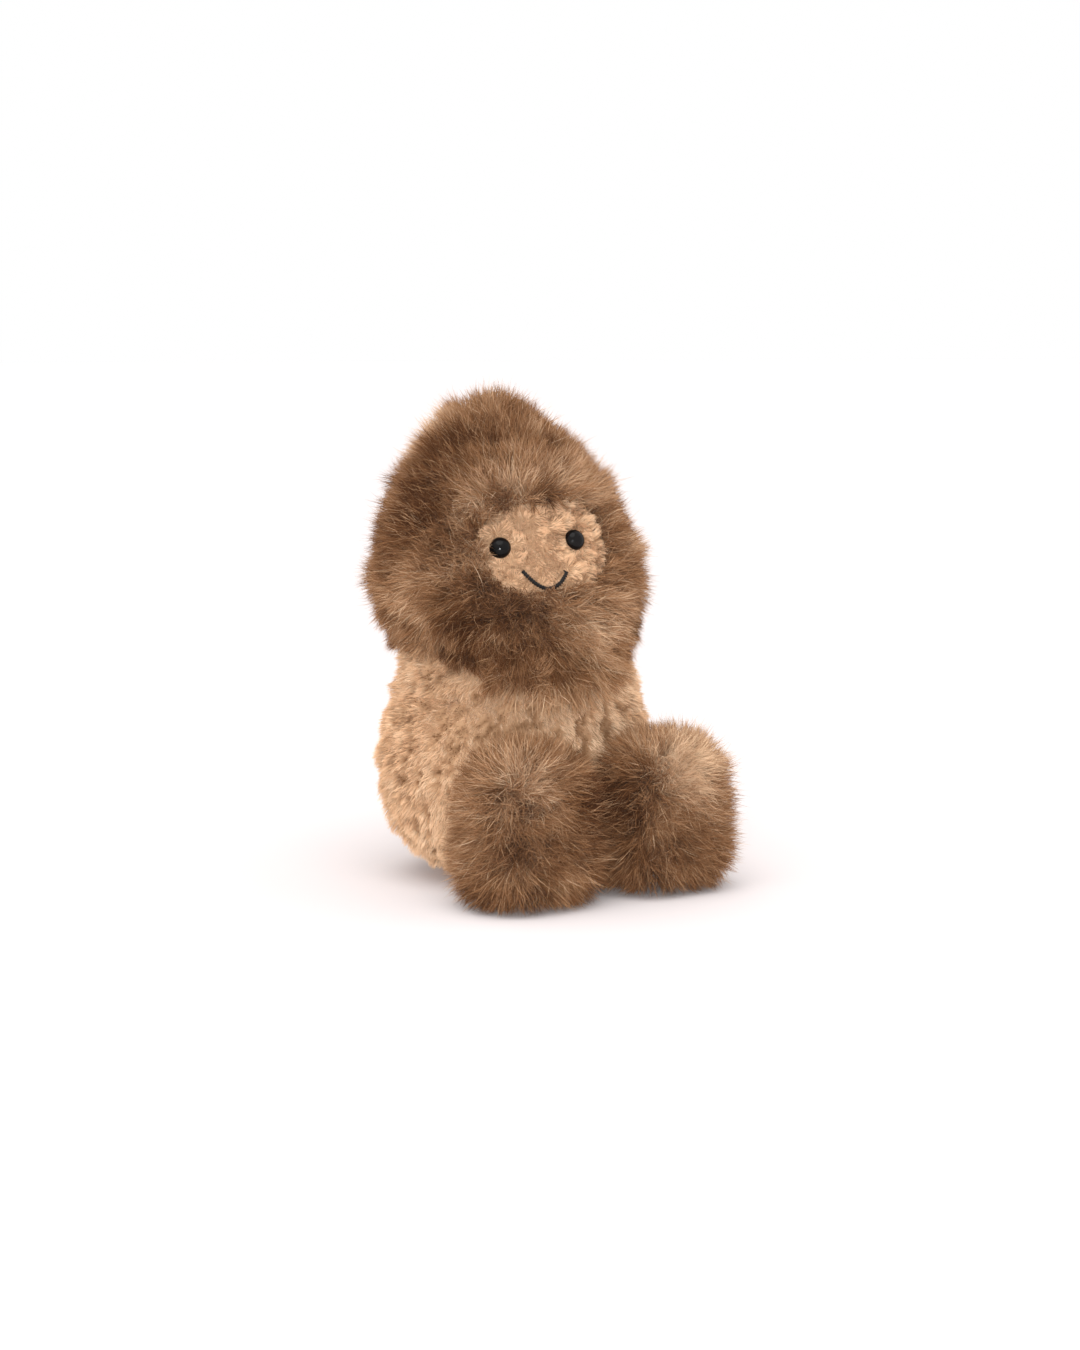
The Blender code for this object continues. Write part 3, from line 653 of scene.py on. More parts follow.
# Tone patches, in mm in the head's own frame: middle, radius, and how much paler or darker. Most are the
# fur's own mottling; the two dark ones just above the window are painted shade under the brow.
HEAD_MOTTLE_AND_PAINTED_SHADE = (
    ((-14.5, -5.4, 69.5), 8.5, -0.40), ((-23.5, -4.0, 61.0), 7.0, -0.20), ((-28.8, -9.1, 49.3), 14.0, -0.42),
    ((3.0, -27.3, 52.8), 5.5, -0.42), ((-9.0, -26.5, 52.3), 5.0, -0.22), ((-24.5, -27.7, 23.9), 10.0, -0.34),
    ((-4.1, -39.2, 13.7), 8.0, -0.26), ((-13.8, -36.0, 18.4), 9.0, -0.22), ((12.2, -14.8, 62.7), 5.0, -0.24),
    ((-3.0, -24.5, 59.5), 6.0, 0.40), ((9.0, -21.5, 60.0), 5.0, 0.34), ((-16.5, -22.0, 56.0), 6.0, 0.34),
    ((-6.2, -15.5, 67.5), 6.0, -0.12), ((18.1, -16.9, 56.6), 9.0, 0.32), ((-19.0, -24.2, 45.4), 7.0, 0.18),
    ((-31.8, -15.1, 34.1), 10.0, 0.30), ((10.0, -36.7, 22.4), 9.0, 0.22), ((-17.5, 9.0, 72.0), 8.0, 0.52),
    ((30.9, -17.4, 33.3), 9.0, 0.12), ((-4.2, -37.5, 4.2), 7.0, 0.24))


def head_surface(units, inset):
    """The head's mean fur surface about the neck's pivot: a peaked egg with a brow and a hanging beard."""
    rise = np.clip(np.abs(units[:, 2]), 0.0, 1.0)
    upper = units[:, 2] >= 0.0
    height = np.where(
        upper, HEAD_WIDEST + rise * (HEAD_TOP - HEAD_WIDEST - inset),
        HEAD_WIDEST - rise * (HEAD_WIDEST - HEAD_BOTTOM - inset))
    ring = np.where(
        upper, (1.0 - rise ** PEAK_SHARPNESS) ** PEAK_FULLNESS, np.sqrt(1.0 - rise ** CHIN_ROUNDNESS))
    flat = unit(units * LEVEL)
    depth = np.where(units[:, 1] < 0.0, HEAD_FRONT, HEAD_BACK)
    front = np.maximum(-flat[:, 1], 0.0) ** 2
    beard = front * bump(height, BEARD_HEIGHT, BEARD_SPREAD)
    brow = front * front * bump(height, BROW_HEIGHT, BROW_SPREAD)
    across = flat[:, 0] * ring * (HEAD_HALF_WIDTH - inset)
    forward = flat[:, 1] * ring * (depth - inset) - BEARD_BULGE * beard - BROW_BULGE * brow
    lean = HEAD_LEAN * (height / HEAD_TOP) ** 2
    return np.stack((across, forward + lean, height - BEARD_DROP * beard), axis=-1)


def window_share(points, grow):
    """How far out from the window's middle each place is, 1 on the window's edge made larger by grow."""
    across = np.abs(points[:, 0] - WINDOW_SHIFT) / (WINDOW_HALF[0] + grow)
    upward = np.abs(points[:, 2] - WINDOW_HEIGHT) / (WINDOW_HALF[1] + grow)
    return (across ** WINDOW_SQUARENESS + upward ** WINDOW_SQUARENESS) ** (1.0 / WINDOW_SQUARENESS)


def in_window(points, grow):
    """Which places on the front of the head lie inside the face window, made larger by grow."""
    return (window_share(points, grow) < 1.0) & (points[:, 1] < 0.0)


def in_beard(points):
    """Which places lie below and in front of the beard's seam."""
    return (points[:, 2] < BEARD_SEAM_HEIGHT) & (points[:, 1] < BEARD_SEAM_SETBACK)


def patched(points, patches):
    """How much the patches add at each place."""
    shift = np.zeros(len(points))
    for middle, radius, amount in patches:
        shift += amount * bump(np.linalg.norm(points - np.array(middle) * MM, axis=1), 0.0, radius * MM)
    return shift


def guard_hairs(tone, share, rng):
    """Which hairs are the pale strays that stand out of the pile; their tone is made paler in place."""
    guard = rng.random(len(tone)) < share
    tone[guard] = np.maximum(tone[guard] + GUARD_PALER, GUARD_TONE)
    return guard


def placed(points, matrix):
    """The points moved and turned by the matrix."""
    turn = np.array(matrix.to_3x3())
    return points @ turn.T + np.array(matrix.translation)


FUR_TONES = (
    (0.0, (0.074, 0.027, 0.009)), (0.25, (0.192, 0.083, 0.033)), (0.5, (0.362, 0.187, 0.090)),
    (0.75, (0.560, 0.345, 0.198)), (1.0, (0.780, 0.555, 0.365)))
# Along each hair: painted shade of the pile darkens the root, and the tips are the hair's own paler colour.
FUR_PALE_TIPS_AND_ROOT_SHADE = ((0.0, 0.65), (0.5, 0.88), (1.0, 1.0))
brown_fur = pile_finish("brown_fur", FUR_TONES, FUR_PALE_TIPS_AND_ROOT_SHADE, roughness=0.7, sheen=0.03)

rng = np.random.default_rng(41)
head_units, head_quads = ball_grid(160, 110)
head_outer = head_surface(head_units, 0.0)
head_skin = head_surface(head_units, FUR_BACKING_DEPTH)
# The head's cup keeps clear of the shoulders, by more towards its rim.
cup = np.clip(CUP_TOP - head_skin[:, 2], 0.0, CUP_DEPTH)
room = DOME_RADIUS + CUP_CLEARANCE + CUP_FLARE * cup
head_skin = head_skin * np.maximum(room / np.linalg.norm(head_skin, axis=1), 1.0)[:, None]
rim_gap = np.linalg.norm(head_outer, axis=1) - room
head_normals = outward(head_skin, head_quads)
head_quad_middle = head_skin[head_quads].mean(axis=1)
clear_of_neck = (rim_gap > 0.0)[head_quads].all(axis=1)
head_open = clear_of_neck & ~in_window(head_quad_middle, 0.0)
head_quads, head_quad_middle = those(head_open, head_quads, head_quad_middle)
head_roots, head_facing, rim_gap = scatter(
    (head_skin, head_normals, rim_gap[:, None]), head_quads, HEAD_HAIRS, rng)
head_facing = unit(head_facing)
count = len(head_roots)
# Tone: the patches, with painted shade under the brow, then mottling in two sizes, then pale guard hairs.
head_tone = FUR_TONE + patched(head_roots + head_facing * FUR_BACKING_DEPTH, HEAD_MOTTLE_AND_PAINTED_SHADE)
head_tone += 0.08 * ripple(head_roots, 16.0 * MM, seed=51) + 0.11 * ripple(head_roots, FINE_MOTTLE, seed=52)
guard = guard_hairs(head_tone, HEAD_GUARD_SHARE, rng)
# Where the pile hangs (the beard, the cheeks and the rim) and where it fringes the window.
near_rim = np.clip(1.0 - rim_gap[:, 0] / RIM_FADE, 0.0, 1.0)
frontness = np.maximum(-head_roots[:, 1], 0.0) / np.hypot(head_roots[:, 0], head_roots[:, 1])
cheek = np.clip((1.0 - frontness) / CHEEK_FADE, 0.0, 1.0)
hang_from = BEARD_HANG_HEIGHT + CHEEK_HANG_RISE * cheek
hang = np.maximum(np.clip((hang_from - head_roots[:, 2]) / HANG_FADE, 0.0, 1.0), near_rim)
above_mouth = np.clip((head_roots[:, 2] - FRINGE_START) / FRINGE_FADE, 0.0, 1.0)
window_edge = bump(window_share(head_roots, 0.0), 1.0, FRINGE_WIDTH) * (head_roots[:, 1] < 0.0)
fringe_locks = np.clip(0.6 + 1.2 * ripple(head_roots, FRINGE_SPAN, seed=59), 0.0, 1.0)
fringe = window_edge * above_mouth * fringe_locks
# Length: longer in the beard, shorter on the cheeks' rim and round the window.
head_length = FUR_PILE * rng.uniform(*FUR_LENGTHS, count)
head_length *= 1.0 + 0.11 * ripple(head_roots, 9.0 * MM, seed=53)
head_length[guard] *= HEAD_GUARD_LONGER
head_length *= (
    1.0 - RIM_SHORTER * near_rim * cheek - FRINGE_SHORTER * fringe
    + BEARD_LONGER * hang * (1.0 - cheek))
head_length *= 1.0 - CHIN_EDGE_SHORTER * window_edge * (1.0 - above_mouth)
head_length *= 1.0 + patched(head_roots, PILE_LOBES)
# Flow: away from the window, down where the pile hangs, and back over the window's edge in the fringe.
away = head_roots - PARTING_POINT
from_window = np.linalg.norm(away * PARTING_STRETCH, axis=1) - PARTING_START
from_window = np.clip(from_window / PARTING_FADE, 0.4, 1.0)
outwards = (1.0 - hang) * (1.0 - 2.2 * fringe)
head_flow = unit(away) * outwards[:, None] + 1.6 * hang[:, None] * DOWN
head_flow += 0.6 * drift(head_roots, 15.0 * MM, seed=54)
head_flow += WISP_SWAY * drift(head_roots, WISP_SPAN, seed=154)
head_flow = along_surface(head_flow, head_facing) * (0.9 * np.maximum(from_window, fringe))[:, None]
head_lift = FUR_LIFT + 0.10 * ripple(head_roots, 10.0 * MM, seed=58)
head_lift -= RIM_FLATTER * near_rim + CHEEK_FLATTER * hang * cheek + FRINGE_FLATTER * fringe
head_middle, head_tips, lock = comb(
    head_roots, head_facing, head_flow, head_length, head_lift,
    tangle=0.50 + GUARD_STRAY * guard - 0.18 * hang, hairs_per_lock=FUR_LOCK,
    lock_pull=np.where(guard, 0.0, 0.55), rng=rng, droop=0.10)
head_tone += HAIR_TONE_SPREAD * rng.normal(size=count)
head_tone += HAIR_TONE_SPREAD * rng.normal(size=lock.max() + 1)[lock]
head_width = FUR_HAIR_WIDTH * rng.uniform(*WIDTH_RANGE, count) * (1.0 - GUARD_THINNER * guard)
head_skin_tone = 0.30 + patched(head_skin + head_normals * FUR_BACKING_DEPTH, HEAD_MOTTLE_AND_PAINTED_SHADE)
for name, sides in (
        ("head_left", lambda p: ~in_beard(p) & (p[:, 0] >= GUSSET_HALF_WIDTH)),
        ("head_right", lambda p: ~in_beard(p) & (p[:, 0] < -GUSSET_HALF_WIDTH)),
        ("head_crown", lambda p: ~in_beard(p) & (np.abs(p[:, 0] + 1e-9) < GUSSET_HALF_WIDTH)),
        ("beard", in_beard)):
    kept = those(
        sides(head_roots), head_roots, head_middle, head_tips, head_facing, head_width, head_tone)
    points, *rest = ribbons(*kept, steps=3, rng=rng)
    backing = (placed(head_skin, HEAD_PLACE), head_quads[sides(head_quad_middle)], head_skin_tone)
    panel = furred(f"{name}_fur", backing, (placed(points, HEAD_PLACE), *rest), brown_fur)
    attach(panel, "head")
    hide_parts(f"{name}_panel")


# Face: a patch of the tan plush, clipped shorter, set back in the window of the hood.
# Its curls are packed into small lumps with thin cracks between them, and lie low round the eyes and mouth.
FACE_RECESS = 5.5 * MM
FACE_BACKING_DEPTH = 7.2 * MM
FACE_OVERLAP = 2.5 * MM
FACE_PILE = 2.5 * MM
FACE_HAIRS = 18000
FACE_HAIR_WIDTH = 0.17 * MM
FACE_TONE = 0.72
CURL_CANDIDATES = 900
CURL_SPACING = 4.4 * MM
CURL_SPACINGS = (0.75, 1.2)
CURL_RADIUS = 3.2 * MM
CURL_HEIGHT = 0.9 * MM
CURL_SINK = 0.3 * MM
CRACK_WIDTH = 0.6 * MM
CRACK_PAINTED_SHADE = 0.55
CRACK_SHORTER = 0.65
EYE_ACROSS = 10.5 * MM
EYE_HEIGHT = 41.4 * MM
EYE_RADIUS = 2.9 * MM
EYE_BED = 3.2 * MM
EYE_BED_SHORTER = 0.3
EYE_RIM = 3.6 * MM
EYE_RIM_WIDTH = 0.8 * MM
MOUTH_HALF_WIDTH = 6.2 * MM
MOUTH_HEIGHT = 29.9 * MM
MOUTH_RISE = 4.7 * MM
MOUTH_SLOPE = -0.10
MOUTH_BED = 2.2 * MM
MOUTH_BED_SHORTER = 0.55
MOUTH_STEPS = 60
THREAD_RADIUS = 0.5 * MM


def face_spot(across, height, inset):
    """Where the face's surface lies at a place across it, found by halving the rise up the head."""
    low, high = -1.0, 1.0
    for _ in range(40):
        rise = (low + high) / 2.0
        reach = math.sqrt(1.0 - rise * rise)
        widest = head_surface(np.array(((reach, 0.0, rise),)), inset)[0, 0]
        turn = math.asin(max(-1.0, min(1.0, across / widest)))
        spot = head_surface(np.array(((reach * math.sin(turn), -reach * math.cos(turn), rise),)), inset)[0]
        if spot[2] < height:
            low = rise
        else:
            high = rise
    return spot


def face_way(across, height, inset):
    """The outward direction of the face there."""
    step = 1.0 * MM
    sideways = face_spot(across + step, height, inset) - face_spot(across - step, height, inset)
    upwards = face_spot(across, height + step, inset) - face_spot(across, height - step, inset)
    return unit(np.cross(sideways, upwards))


def lumpy(points, curls):
    """How high on a curl's lump each place is, and how deep in a crack between two lumps."""
    tree = tree_of(curls)
    near, next_near = np.array([[hit[2] for hit in tree.find_n(point, 2)] for point in points]).T
    return np.clip(1.0 - (near / CURL_RADIUS) ** 2, 0.0, 1.0), bump(next_near, near, CRACK_WIDTH)


mouth_line = []
for share in np.linspace(-1.0, 1.0, MOUTH_STEPS):
    across = share * MOUTH_HALF_WIDTH
    height = MOUTH_HEIGHT + MOUTH_RISE * share * share + MOUTH_SLOPE * across
    standoff = THREAD_RADIUS * face_way(across, height, FACE_RECESS)
    mouth_line.append(face_spot(across, height, FACE_RECESS) + standoff)
mouth_line = np.array(mouth_line)
eye_spots = np.array([face_spot(sign * EYE_ACROSS, EYE_HEIGHT, FACE_RECESS) for sign in (1.0, -1.0)])
eye_ways = [face_way(sign * EYE_ACROSS, EYE_HEIGHT, FACE_RECESS) for sign in (1.0, -1.0)]

rng = np.random.default_rng(61)
face_units, face_quads = ball_grid(260, 200)
face_skin = head_surface(face_units, FACE_BACKING_DEPTH)
face_normals = outward(face_skin, face_quads)
face_quads = face_quads[in_window(face_skin[face_quads].mean(axis=1), FACE_OVERLAP)]
face_roots, face_facing = scatter((face_skin, face_normals), face_quads, FACE_HAIRS, rng)
face_facing = unit(face_facing)
count = len(face_roots)
curl_candidates = scatter((face_skin,), face_quads, CURL_CANDIDATES, rng)[0]
lump, crack = lumpy(face_roots, spread_out(curl_candidates, CURL_SPACING, CURL_SPACINGS, rng))
face_roots = face_roots + face_facing * (CURL_HEIGHT * lump - CURL_SINK)[:, None]
_, to_mouth = nearest(face_roots, mouth_line)
which_eye, to_eye = nearest(face_roots, eye_spots)
# The cracks between the lumps are darker: painted shade in them.
face_tone = FACE_TONE - CRACK_PAINTED_SHADE * crack + 0.06 * rng.normal(size=count)
face_tone += 0.06 * ripple(face_roots, 4.0 * MM, seed=72)
face_length = FACE_PILE * rng.uniform(*PLUSH_LENGTHS, count) * (1.0 - CRACK_SHORTER * crack)
near_mouth, near_eye = bump(to_mouth, 0.0, MOUTH_BED), bump(to_eye, 0.0, EYE_BED)
face_length *= 1.0 - MOUTH_BED_SHORTER * near_mouth - EYE_BED_SHORTER * near_eye
over_rim = 3.0 * bump(to_eye, EYE_RIM, EYE_RIM_WIDTH)[:, None]
to_bead = unit(eye_spots[which_eye] - face_roots)
face_flow = 0.5 * DOWN + drift(face_roots, 6.0 * MM, seed=73) + over_rim * to_bead
face_flow = along_surface(face_flow, face_facing)
face_middle, face_tips, _ = comb(
    face_roots, face_facing, face_flow, face_length, lift=0.6, tangle=0.25, hairs_per_lock=10, lock_pull=0.6,
    rng=rng)
face_width = FACE_HAIR_WIDTH * rng.uniform(*WIDTH_RANGE, count)
points, *rest = ribbons(
    face_roots, face_middle, face_tips, face_facing, face_width, face_tone, steps=2, rng=rng)
face_plush = pile_finish("face_plush", TAN_TONES, TAN_PALE_TIPS_AND_ROOT_SHADE, roughness=0.85, sheen=0.05)
backing = (placed(face_skin, HEAD_PLACE), face_quads, np.full(len(face_skin), 0.5))
face = furred("face_plush", backing, (placed(points, HEAD_PLACE), *rest), face_plush)
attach(face, "head")
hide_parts("face_panel")


# Eyes: glossy black plastic domes, each moulded in one with a ribbed shank.
# The shank is pushed through the face and locked by a washer behind it.
EYE_DOME = 2.4 * MM
EYE_SIDES = 48
EYE_STANDOFF = 0.3 * MM
SHANK_RADIUS = 1.0 * MM
SHANK_LENGTH = 7.5 * MM
SHANK_RIBS = 14
FIRST_RIB = 1.0 * MM
RIB_RISE = 0.25 * MM
RIB_GROOVE = 0.85
black_plastic = speckled(
    "black_plastic", dark=(0.003, 0.003, 0.003), pale=(0.006, 0.005, 0.005), scale=200.0, roughness=0.02,
    specular=0.13)
arc = np.radians(np.linspace(2.0, 90.0, 18))
eye_profile = [(EYE_RADIUS * math.sin(a), EYE_DOME * math.cos(a)) for a in arc]
eye_profile += [(EYE_RADIUS * 0.97, -0.25 * MM), (SHANK_RADIUS, -0.3 * MM)]
for rib in np.linspace(FIRST_RIB, SHANK_LENGTH, SHANK_RIBS):
    eye_profile += [(SHANK_RADIUS * RIB_GROOVE, -rib + RIB_RISE), (SHANK_RADIUS, -rib)]
eye_profile.append((0.05 * MM, -SHANK_LENGTH))
eye_points, eye_quads = turned(eye_profile, EYE_SIDES)
for side, spot, way in zip(("left", "right"), eye_spots, eye_ways):
    facing = Vector(way).to_track_quat("Z", "Y").to_matrix().to_4x4()
    seat = HEAD_PLACE @ Matrix.Translation(Vector(spot + EYE_STANDOFF * way)) @ facing
    eye = new_piece(f"{side}_eye_bead", placed(eye_points, seat), [eye_quads], black_plastic)
    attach(eye, "head")
    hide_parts(f"{side}_eye")
    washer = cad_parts[f"{side}_eye_washer"]
    washer.data.materials.clear()
    washer.data.materials.append(black_plastic)


# Mouth: a smile of black embroidery thread, two plies twisted together.
# It is couched on the face, dips into the curls a little off its middle, and ends drawn through the backing.
PLY_RADIUS = 0.36 * MM
PLY_OFFSET = 0.27 * MM
PLY_PITCH = 1.5 * MM
PLY_SIDES = 8
PLIES = 2
END_SHARE = 0.93
END_DEPTH = 1.2 * MM
DIP_DEPTH = 0.7 * MM
DIP_PLACE = 0.15
DIP_SPREAD = math.sqrt(0.06)
thread = speckled(
    "black_thread", dark=(0.004, 0.004, 0.004), pale=(0.014, 0.012, 0.011), scale=3000.0, roughness=0.75,
    specular=0.3)
mouth_axis = unit(np.gradient(mouth_line, axis=0))
mouth_out = along_surface(unit(mouth_line * LEVEL), mouth_axis)
mouth_side = np.cross(mouth_axis, mouth_out)
mouth_share = np.linspace(-1.0, 1.0, MOUTH_STEPS)
ends_in = np.clip((np.abs(mouth_share) - END_SHARE) / (1.0 - END_SHARE), 0.0, 1.0)
sunk = END_DEPTH * ends_in ** 2 + DIP_DEPTH * bump(mouth_share, DIP_PLACE, DIP_SPREAD)
mouth_line = mouth_line - mouth_out * sunk[:, None]
walked = np.concatenate(((0.0,), np.cumsum(np.linalg.norm(np.diff(mouth_line, axis=0), axis=1))))


def round_thread(turn):
    """The direction out from the mouth's line at each turn round it."""
    return np.cos(turn)[..., None] * mouth_out[:, None, :] + np.sin(turn)[..., None] * mouth_side[:, None, :]


round_ply = np.linspace(0.0, 2.0 * math.pi, PLY_SIDES, endpoint=False)
ply_points, ply_faces = [], []
for ply in range(PLIES):
    twist = 2.0 * math.pi * (walked / PLY_PITCH + ply / PLIES)
    middle = mouth_line[:, None, :] + PLY_OFFSET * round_thread(twist[:, None])
    tube = middle + PLY_RADIUS * round_thread(round_ply[None, :])
    ply_points.append(tube.reshape(-1, 3))
    ply_faces.append(ring_quads(MOUTH_STEPS, PLY_SIDES) + ply * MOUTH_STEPS * PLY_SIDES)
mouth_points = placed(np.concatenate(ply_points), HEAD_PLACE)
mouth = new_piece("mouth_thread", mouth_points, ply_faces, thread)
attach(mouth, "head")
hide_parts("mouth_stitch")


# Feet: rounded blocks of the brown fur, a front and a back panel each, sewn to the front of the body.
# The pile swirls out from the top of each front, pale there and darker down the front.
FOOT_HALF = np.array((18.4, 14.5, 21.8)) * MM
FOOT_SINK = 1.0 * MM
FOOT_TAPER = 0.08
FOOT_SQUARENESS = 4.0
FOOT_MIDDLES = {"left": np.array((21.2, -40.62, 20.8)) * MM, "right": np.array((-21.2, -40.62, 20.8)) * MM}
FOOT_HAIRS = 42000
FOOT_GUARD_SHARE = 0.14
FOOT_GUARD_LONGER = 1.15
FOOT_FLOW = 0.85
SOLE_LONGER = 0.35
SOLE_SPLAY = 2.0
SOLE_PAINTED_SHADE = 0.16
SOLE_SHADE_FADE = 3.0 * MM
SOLE_GAP = 0.1 * MM
TIP_FLOOR = 0.2 * MM
TIP_SPREAD = 0.6 * MM
SEAM_OVERLAP = 2.0 * MM
WHORL = np.array((-4.0, -9.0, 13.5)) * MM
WHORL_LEAN = np.array((0.0, -9.0, 0.0)) * MM
WHORL_SWELL = 1.6 * MM
WHORL_RADIUS = 13.0 * MM
WHORL_DRAW = 0.30
# Tone patches, in mm in the foot's own frame: middle, radius, and how much paler or darker. The strong dark
# ones on each foot's inner side are painted shade in the crease between the feet.
FOOT_MOTTLE_AND_PAINTED_SHADE = {
    "left": (
        ((1.0, -12.5, 15.5), 12.0, 0.62), ((-17.3, -4.0, 5.0), 10.0, -0.62),
        ((3.0, -14.7, -4.2), 10.0, -0.10), ((-14.4, -11.7, -8.0), 8.0, -0.04)),
    "right": (
        ((-5.0, -12.5, 15.0), 10.0, 0.30), ((16.5, -10.0, 6.0), 10.0, -0.62),
        ((-6.0, -14.0, 0.0), 9.0, -0.14), ((-18.7, -2.6, -5.0), 9.0, 0.06))}


def foot_surface(units, inset):
    """A foot's mean fur surface about its middle: a rounded block that narrows towards its top."""
    size = (np.abs(units) ** FOOT_SQUARENESS).sum(axis=1, keepdims=True) ** (-1.0 / FOOT_SQUARENESS)
    points = units * size * (FOOT_HALF - inset)
    points[:, :2] *= 1.0 - FOOT_TAPER * units[:, 2:] * size
    points[:, 2] = np.maximum(points[:, 2], FOOT_SINK - FOOT_HALF[2] + inset)
    return points


def depth_in_body(points):
    """How far inside the body's pile surface each place is; negative outside."""
    drop = np.clip((PIVOT_HEIGHT - points[:, 2]) / (PIVOT_HEIGHT + BASE_SINK), 0.0, 1.0)
    belly = np.sin(math.pi * drop ** BULGE_SHIFT)
    ring = np.sqrt(1.0 - drop ** SEAT_ROUNDNESS)
    across = points[:, 0] / (ring * (DOME_RADIUS + BELLY_SIDE_BULGE * belly))
    forward = points[:, 1] / (ring * (DOME_RADIUS + BELLY_FRONT_BULGE * belly))
    return (1.0 - np.hypot(across, forward)) * DOME_RADIUS


def whorled(points):
    """How near each place is to the whorl that the pile leans out from."""
    return bump(np.linalg.norm(points - WHORL, axis=1), 0.0, WHORL_RADIUS)


foot_units, foot_quads = ball_grid(96, 64)
foot_skin = foot_surface(foot_units, FUR_BACKING_DEPTH)
foot_normals = outward(foot_skin, foot_quads)
foot_floor = FOOT_SINK - FOOT_HALF[2]
raised_skin = foot_skin + foot_normals * (WHORL_SWELL * whorled(foot_skin))[:, None]
quad_front = foot_skin[foot_quads].mean(axis=1)[:, 1] < 0.0
for seed, side in enumerate(("left", "right")):
    rng = np.random.default_rng(81 + seed)
    foot_middle = FOOT_MIDDLES[side]
    roots, facing = scatter((foot_skin, foot_normals), foot_quads, FOOT_HAIRS, rng)
    facing = unit(facing)
    roots, facing = those(roots[:, 2] > foot_floor + FUR_BACKING_DEPTH + SOLE_GAP, roots, facing)
    count = len(roots)
    # Tone: painted shade towards the sole where it meets the floor, the patches (with painted shade between
    # the feet), mottling in two sizes, then pale guard hairs.
    tone = FUR_TONE - SOLE_PAINTED_SHADE * np.exp(-(roots[:, 2] - roots[:, 2].min()) / SOLE_SHADE_FADE)
    tone += patched(roots + facing * FUR_BACKING_DEPTH, FOOT_MOTTLE_AND_PAINTED_SHADE[side])
    tone += 0.06 * ripple(roots, 14.0 * MM, 91 + seed) + 0.07 * ripple(roots, FINE_MOTTLE, 93 + seed)
    guard = guard_hairs(tone, FOOT_GUARD_SHARE, rng)
    # Length and flow: out from the whorl, longer and splayed towards the sole.
    low = np.clip(-roots[:, 2] / FOOT_HALF[2], 0.0, 1.0)
    length = FUR_PILE * rng.uniform(*FUR_LENGTHS, count)
    length[guard] *= FOOT_GUARD_LONGER
    length *= 1.0 + SOLE_LONGER * low ** 3
    flow = 0.6 * unit(roots - WHORL - WHORL_LEAN) + 0.5 * drift(roots, 12.0 * MM, 95 + 3 * seed)
    flow += WISP_SWAY * drift(roots, WISP_SPAN, 195 + 3 * seed)
    flow += SOLE_SPLAY * (low ** 3)[:, None] * unit(roots * LEVEL)
    flow = along_surface(flow, facing) * FOOT_FLOW
    # The roots are drawn in to the whorl and raised there.
    whorl = whorled(roots)[:, None]
    roots = roots + WHORL_DRAW * whorl * flattened(WHORL - roots, facing) + facing * (WHORL_SWELL * whorl)
    middle, tips, lock = comb(
        roots, facing, flow, length, lift=FUR_LIFT, tangle=0.56 + GUARD_STRAY * guard,
        hairs_per_lock=FUR_LOCK, lock_pull=np.where(guard, 0.0, 0.5), rng=rng, droop=0.08 + 0.25 * low)
    tone += HAIR_TONE_SPREAD * rng.normal(size=count)
    tone += HAIR_TONE_SPREAD * rng.normal(size=lock.max() + 1)[lock]
    middle[:, 2] = np.maximum(middle[:, 2], foot_floor + TIP_FLOOR)
    tips[:, 2] = np.maximum(tips[:, 2], foot_floor + TIP_FLOOR + TIP_SPREAD * rng.random(count))
    width = FUR_HAIR_WIDTH * rng.uniform(*WIDTH_RANGE, count) * (1.0 - GUARD_THINNER * guard)
    # Hairs that would end inside the body are left off at the seam.
    free = depth_in_body(tips + foot_middle) < SEAM_OVERLAP
    hairs = those(free, roots, middle, tips, facing, width, tone)
    hair_front = hairs[0][:, 1] < 0.0
    foot_skin_tone = 0.28 + patched(foot_skin + foot_normals * FUR_BACKING_DEPTH, FOOT_MOTTLE_AND_PAINTED_SHADE[side])
    for half, half_hairs, half_quads in (
            ("front", hair_front, quad_front), ("back", ~hair_front, ~quad_front)):
        points, *rest = ribbons(*those(half_hairs, *hairs), steps=3, rng=rng)
        backing = (raised_skin + foot_middle, foot_quads[half_quads], foot_skin_tone)
        panel = furred(f"{side}_foot_{half}_fur", backing, (points + foot_middle, *rest), brown_fur)
        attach(panel, f"{side}_foot")
        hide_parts(f"{side}_foot_{half}_panel")


# Studio: a plain pale floor that takes the toy's shadow, and an even white surround.
# A broad soft light comes from above on the camera's side, and a small soft one from beside the camera.
# The camera has the photograph's angle, with the toy's origin at the same pixel.
PHOTO_SIZE = (1080, 1350)
ORIGIN_PIXEL = (516, 868)
METRES_PER_PIXEL = 0.283 * MM
CAMERA_AZIMUTH = -31.0
CAMERA_ELEVATION = 12.0
CAMERA_DISTANCE = 0.7
SENSOR_WIDTH = 36.0
FLOOR_HALF = 20.0


def looking_back(azimuth, elevation):
    """The direction from the toy towards a place round it, from angles in degrees."""
    turn, rise = math.radians(azimuth), math.radians(elevation)
    return Vector((math.sin(turn) * math.cos(rise), -math.cos(turn) * math.cos(rise), math.sin(rise)))


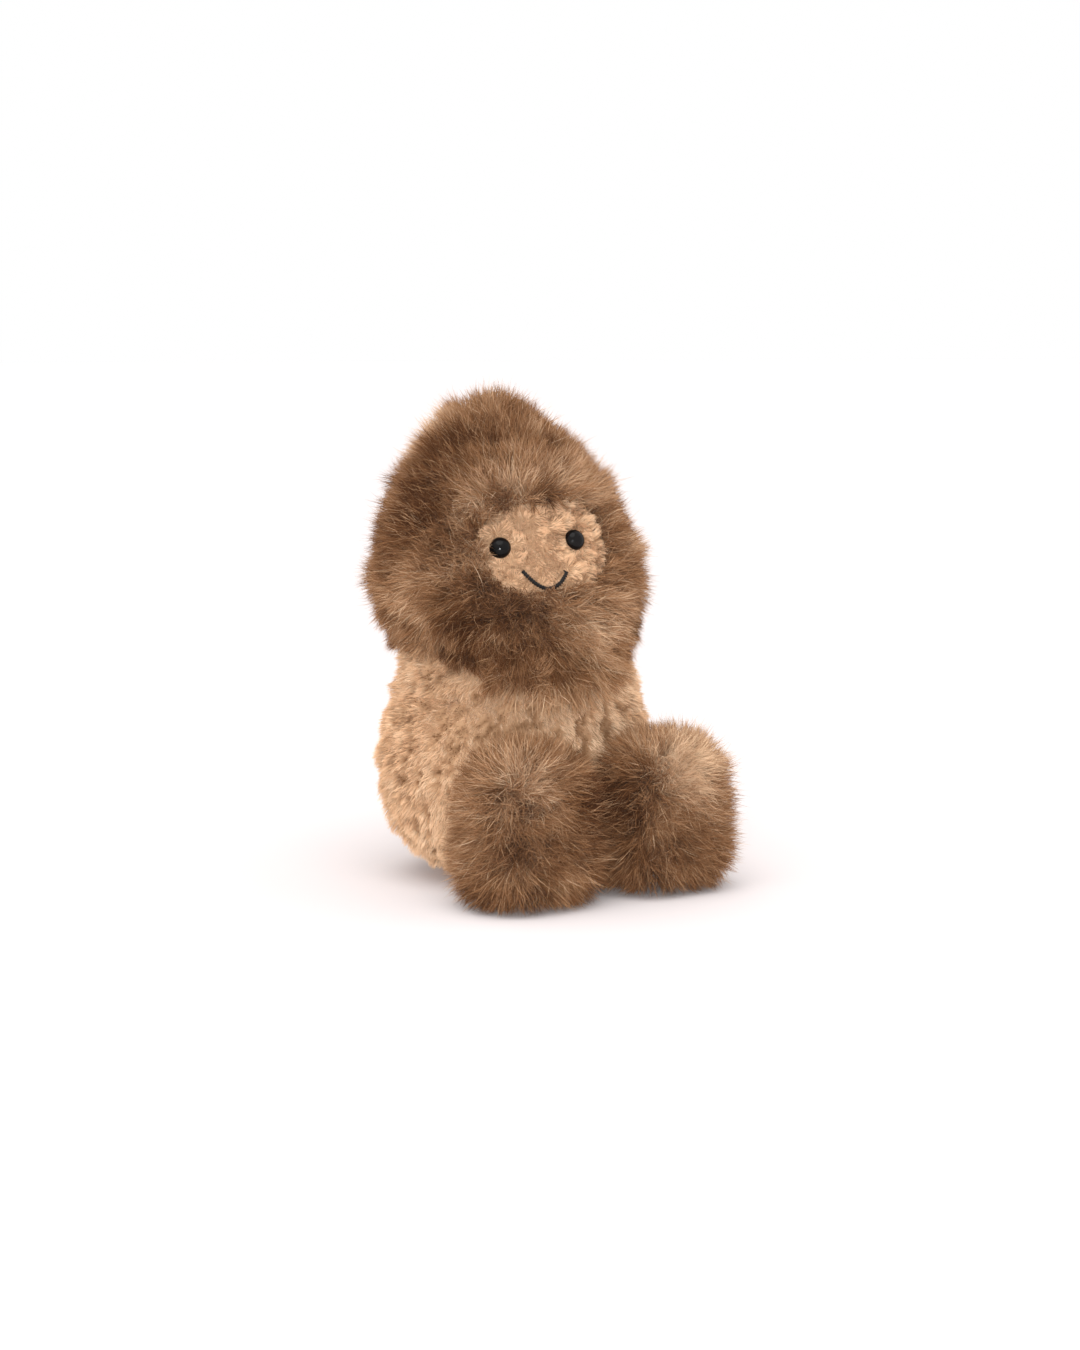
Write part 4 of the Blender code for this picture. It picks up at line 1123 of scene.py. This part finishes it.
back = looking_back(CAMERA_AZIMUTH, CAMERA_ELEVATION)
rightward = looking_back(CAMERA_AZIMUTH + 90.0, 0.0)
upward = back.cross(rightward)
aim = METRES_PER_PIXEL * (
    (PHOTO_SIZE[0] / 2 - ORIGIN_PIXEL[0]) * rightward + (ORIGIN_PIXEL[1] - PHOTO_SIZE[1] / 2) * upward)
lens = bpy.data.cameras.new("camera")
camera = bpy.data.objects.new("camera", lens)
bpy.context.scene.collection.objects.link(camera)
camera.location = back * CAMERA_DISTANCE
camera.rotation_mode = "QUATERNION"
camera.rotation_quaternion = (aim - camera.location).to_track_quat("-Z", "Y")
lens.sensor_width = SENSOR_WIDTH
lens.lens = SENSOR_WIDTH * (aim - camera.location).length / (METRES_PER_PIXEL * PHOTO_SIZE[1])
lens.clip_start = 0.01
bpy.context.scene.camera = camera

floor_mesh = bpy.data.meshes.new("floor")
floor_corners = [(FLOOR_HALF * x, FLOOR_HALF * y, 0.0) for x, y in ((-1, -1), (1, -1), (1, 1), (-1, 1))]
floor_mesh.from_pydata(floor_corners, [], [(0, 1, 2, 3)])
floor_finish, _, floor_shader = new_finish("floor", roughness=0.9, specular=0.0)
floor_shader.inputs["Base Color"].default_value = (0.80, 0.745, 0.74, 1.0)
floor_mesh.materials.append(floor_finish)
floor = bpy.data.objects.new("floor", floor_mesh)
bpy.context.scene.collection.objects.link(floor)

world = bpy.data.worlds.new("surround")
world.use_nodes = True
surround = world.node_tree.nodes["Background"]
surround.inputs["Color"].default_value = (1.0, 1.0, 1.0, 1.0)
surround.inputs["Strength"].default_value = 1.0
bpy.context.scene.world = world


def lamp(name, kind, energy, azimuth, elevation, distance):
    """A light that stands round the toy and points at it."""
    light = bpy.data.lights.new(name, kind)
    light.energy = energy
    source = bpy.data.objects.new(name, light)
    bpy.context.scene.collection.objects.link(source)
    source.location = distance * looking_back(azimuth, elevation)
    source.rotation_mode = "QUATERNION"
    source.rotation_quaternion = source.location.to_track_quat("Z", "Y")
    return light


overhead = lamp("overhead", "SUN", energy=1.2, azimuth=-45.0, elevation=68.0, distance=2.0)
overhead.angle = math.radians(50.0)
front = lamp("front", "AREA", energy=5.0, azimuth=-33.0, elevation=12.0, distance=0.9)
front.size = 0.11

bpy.context.scene.view_settings.view_transform = "Standard"
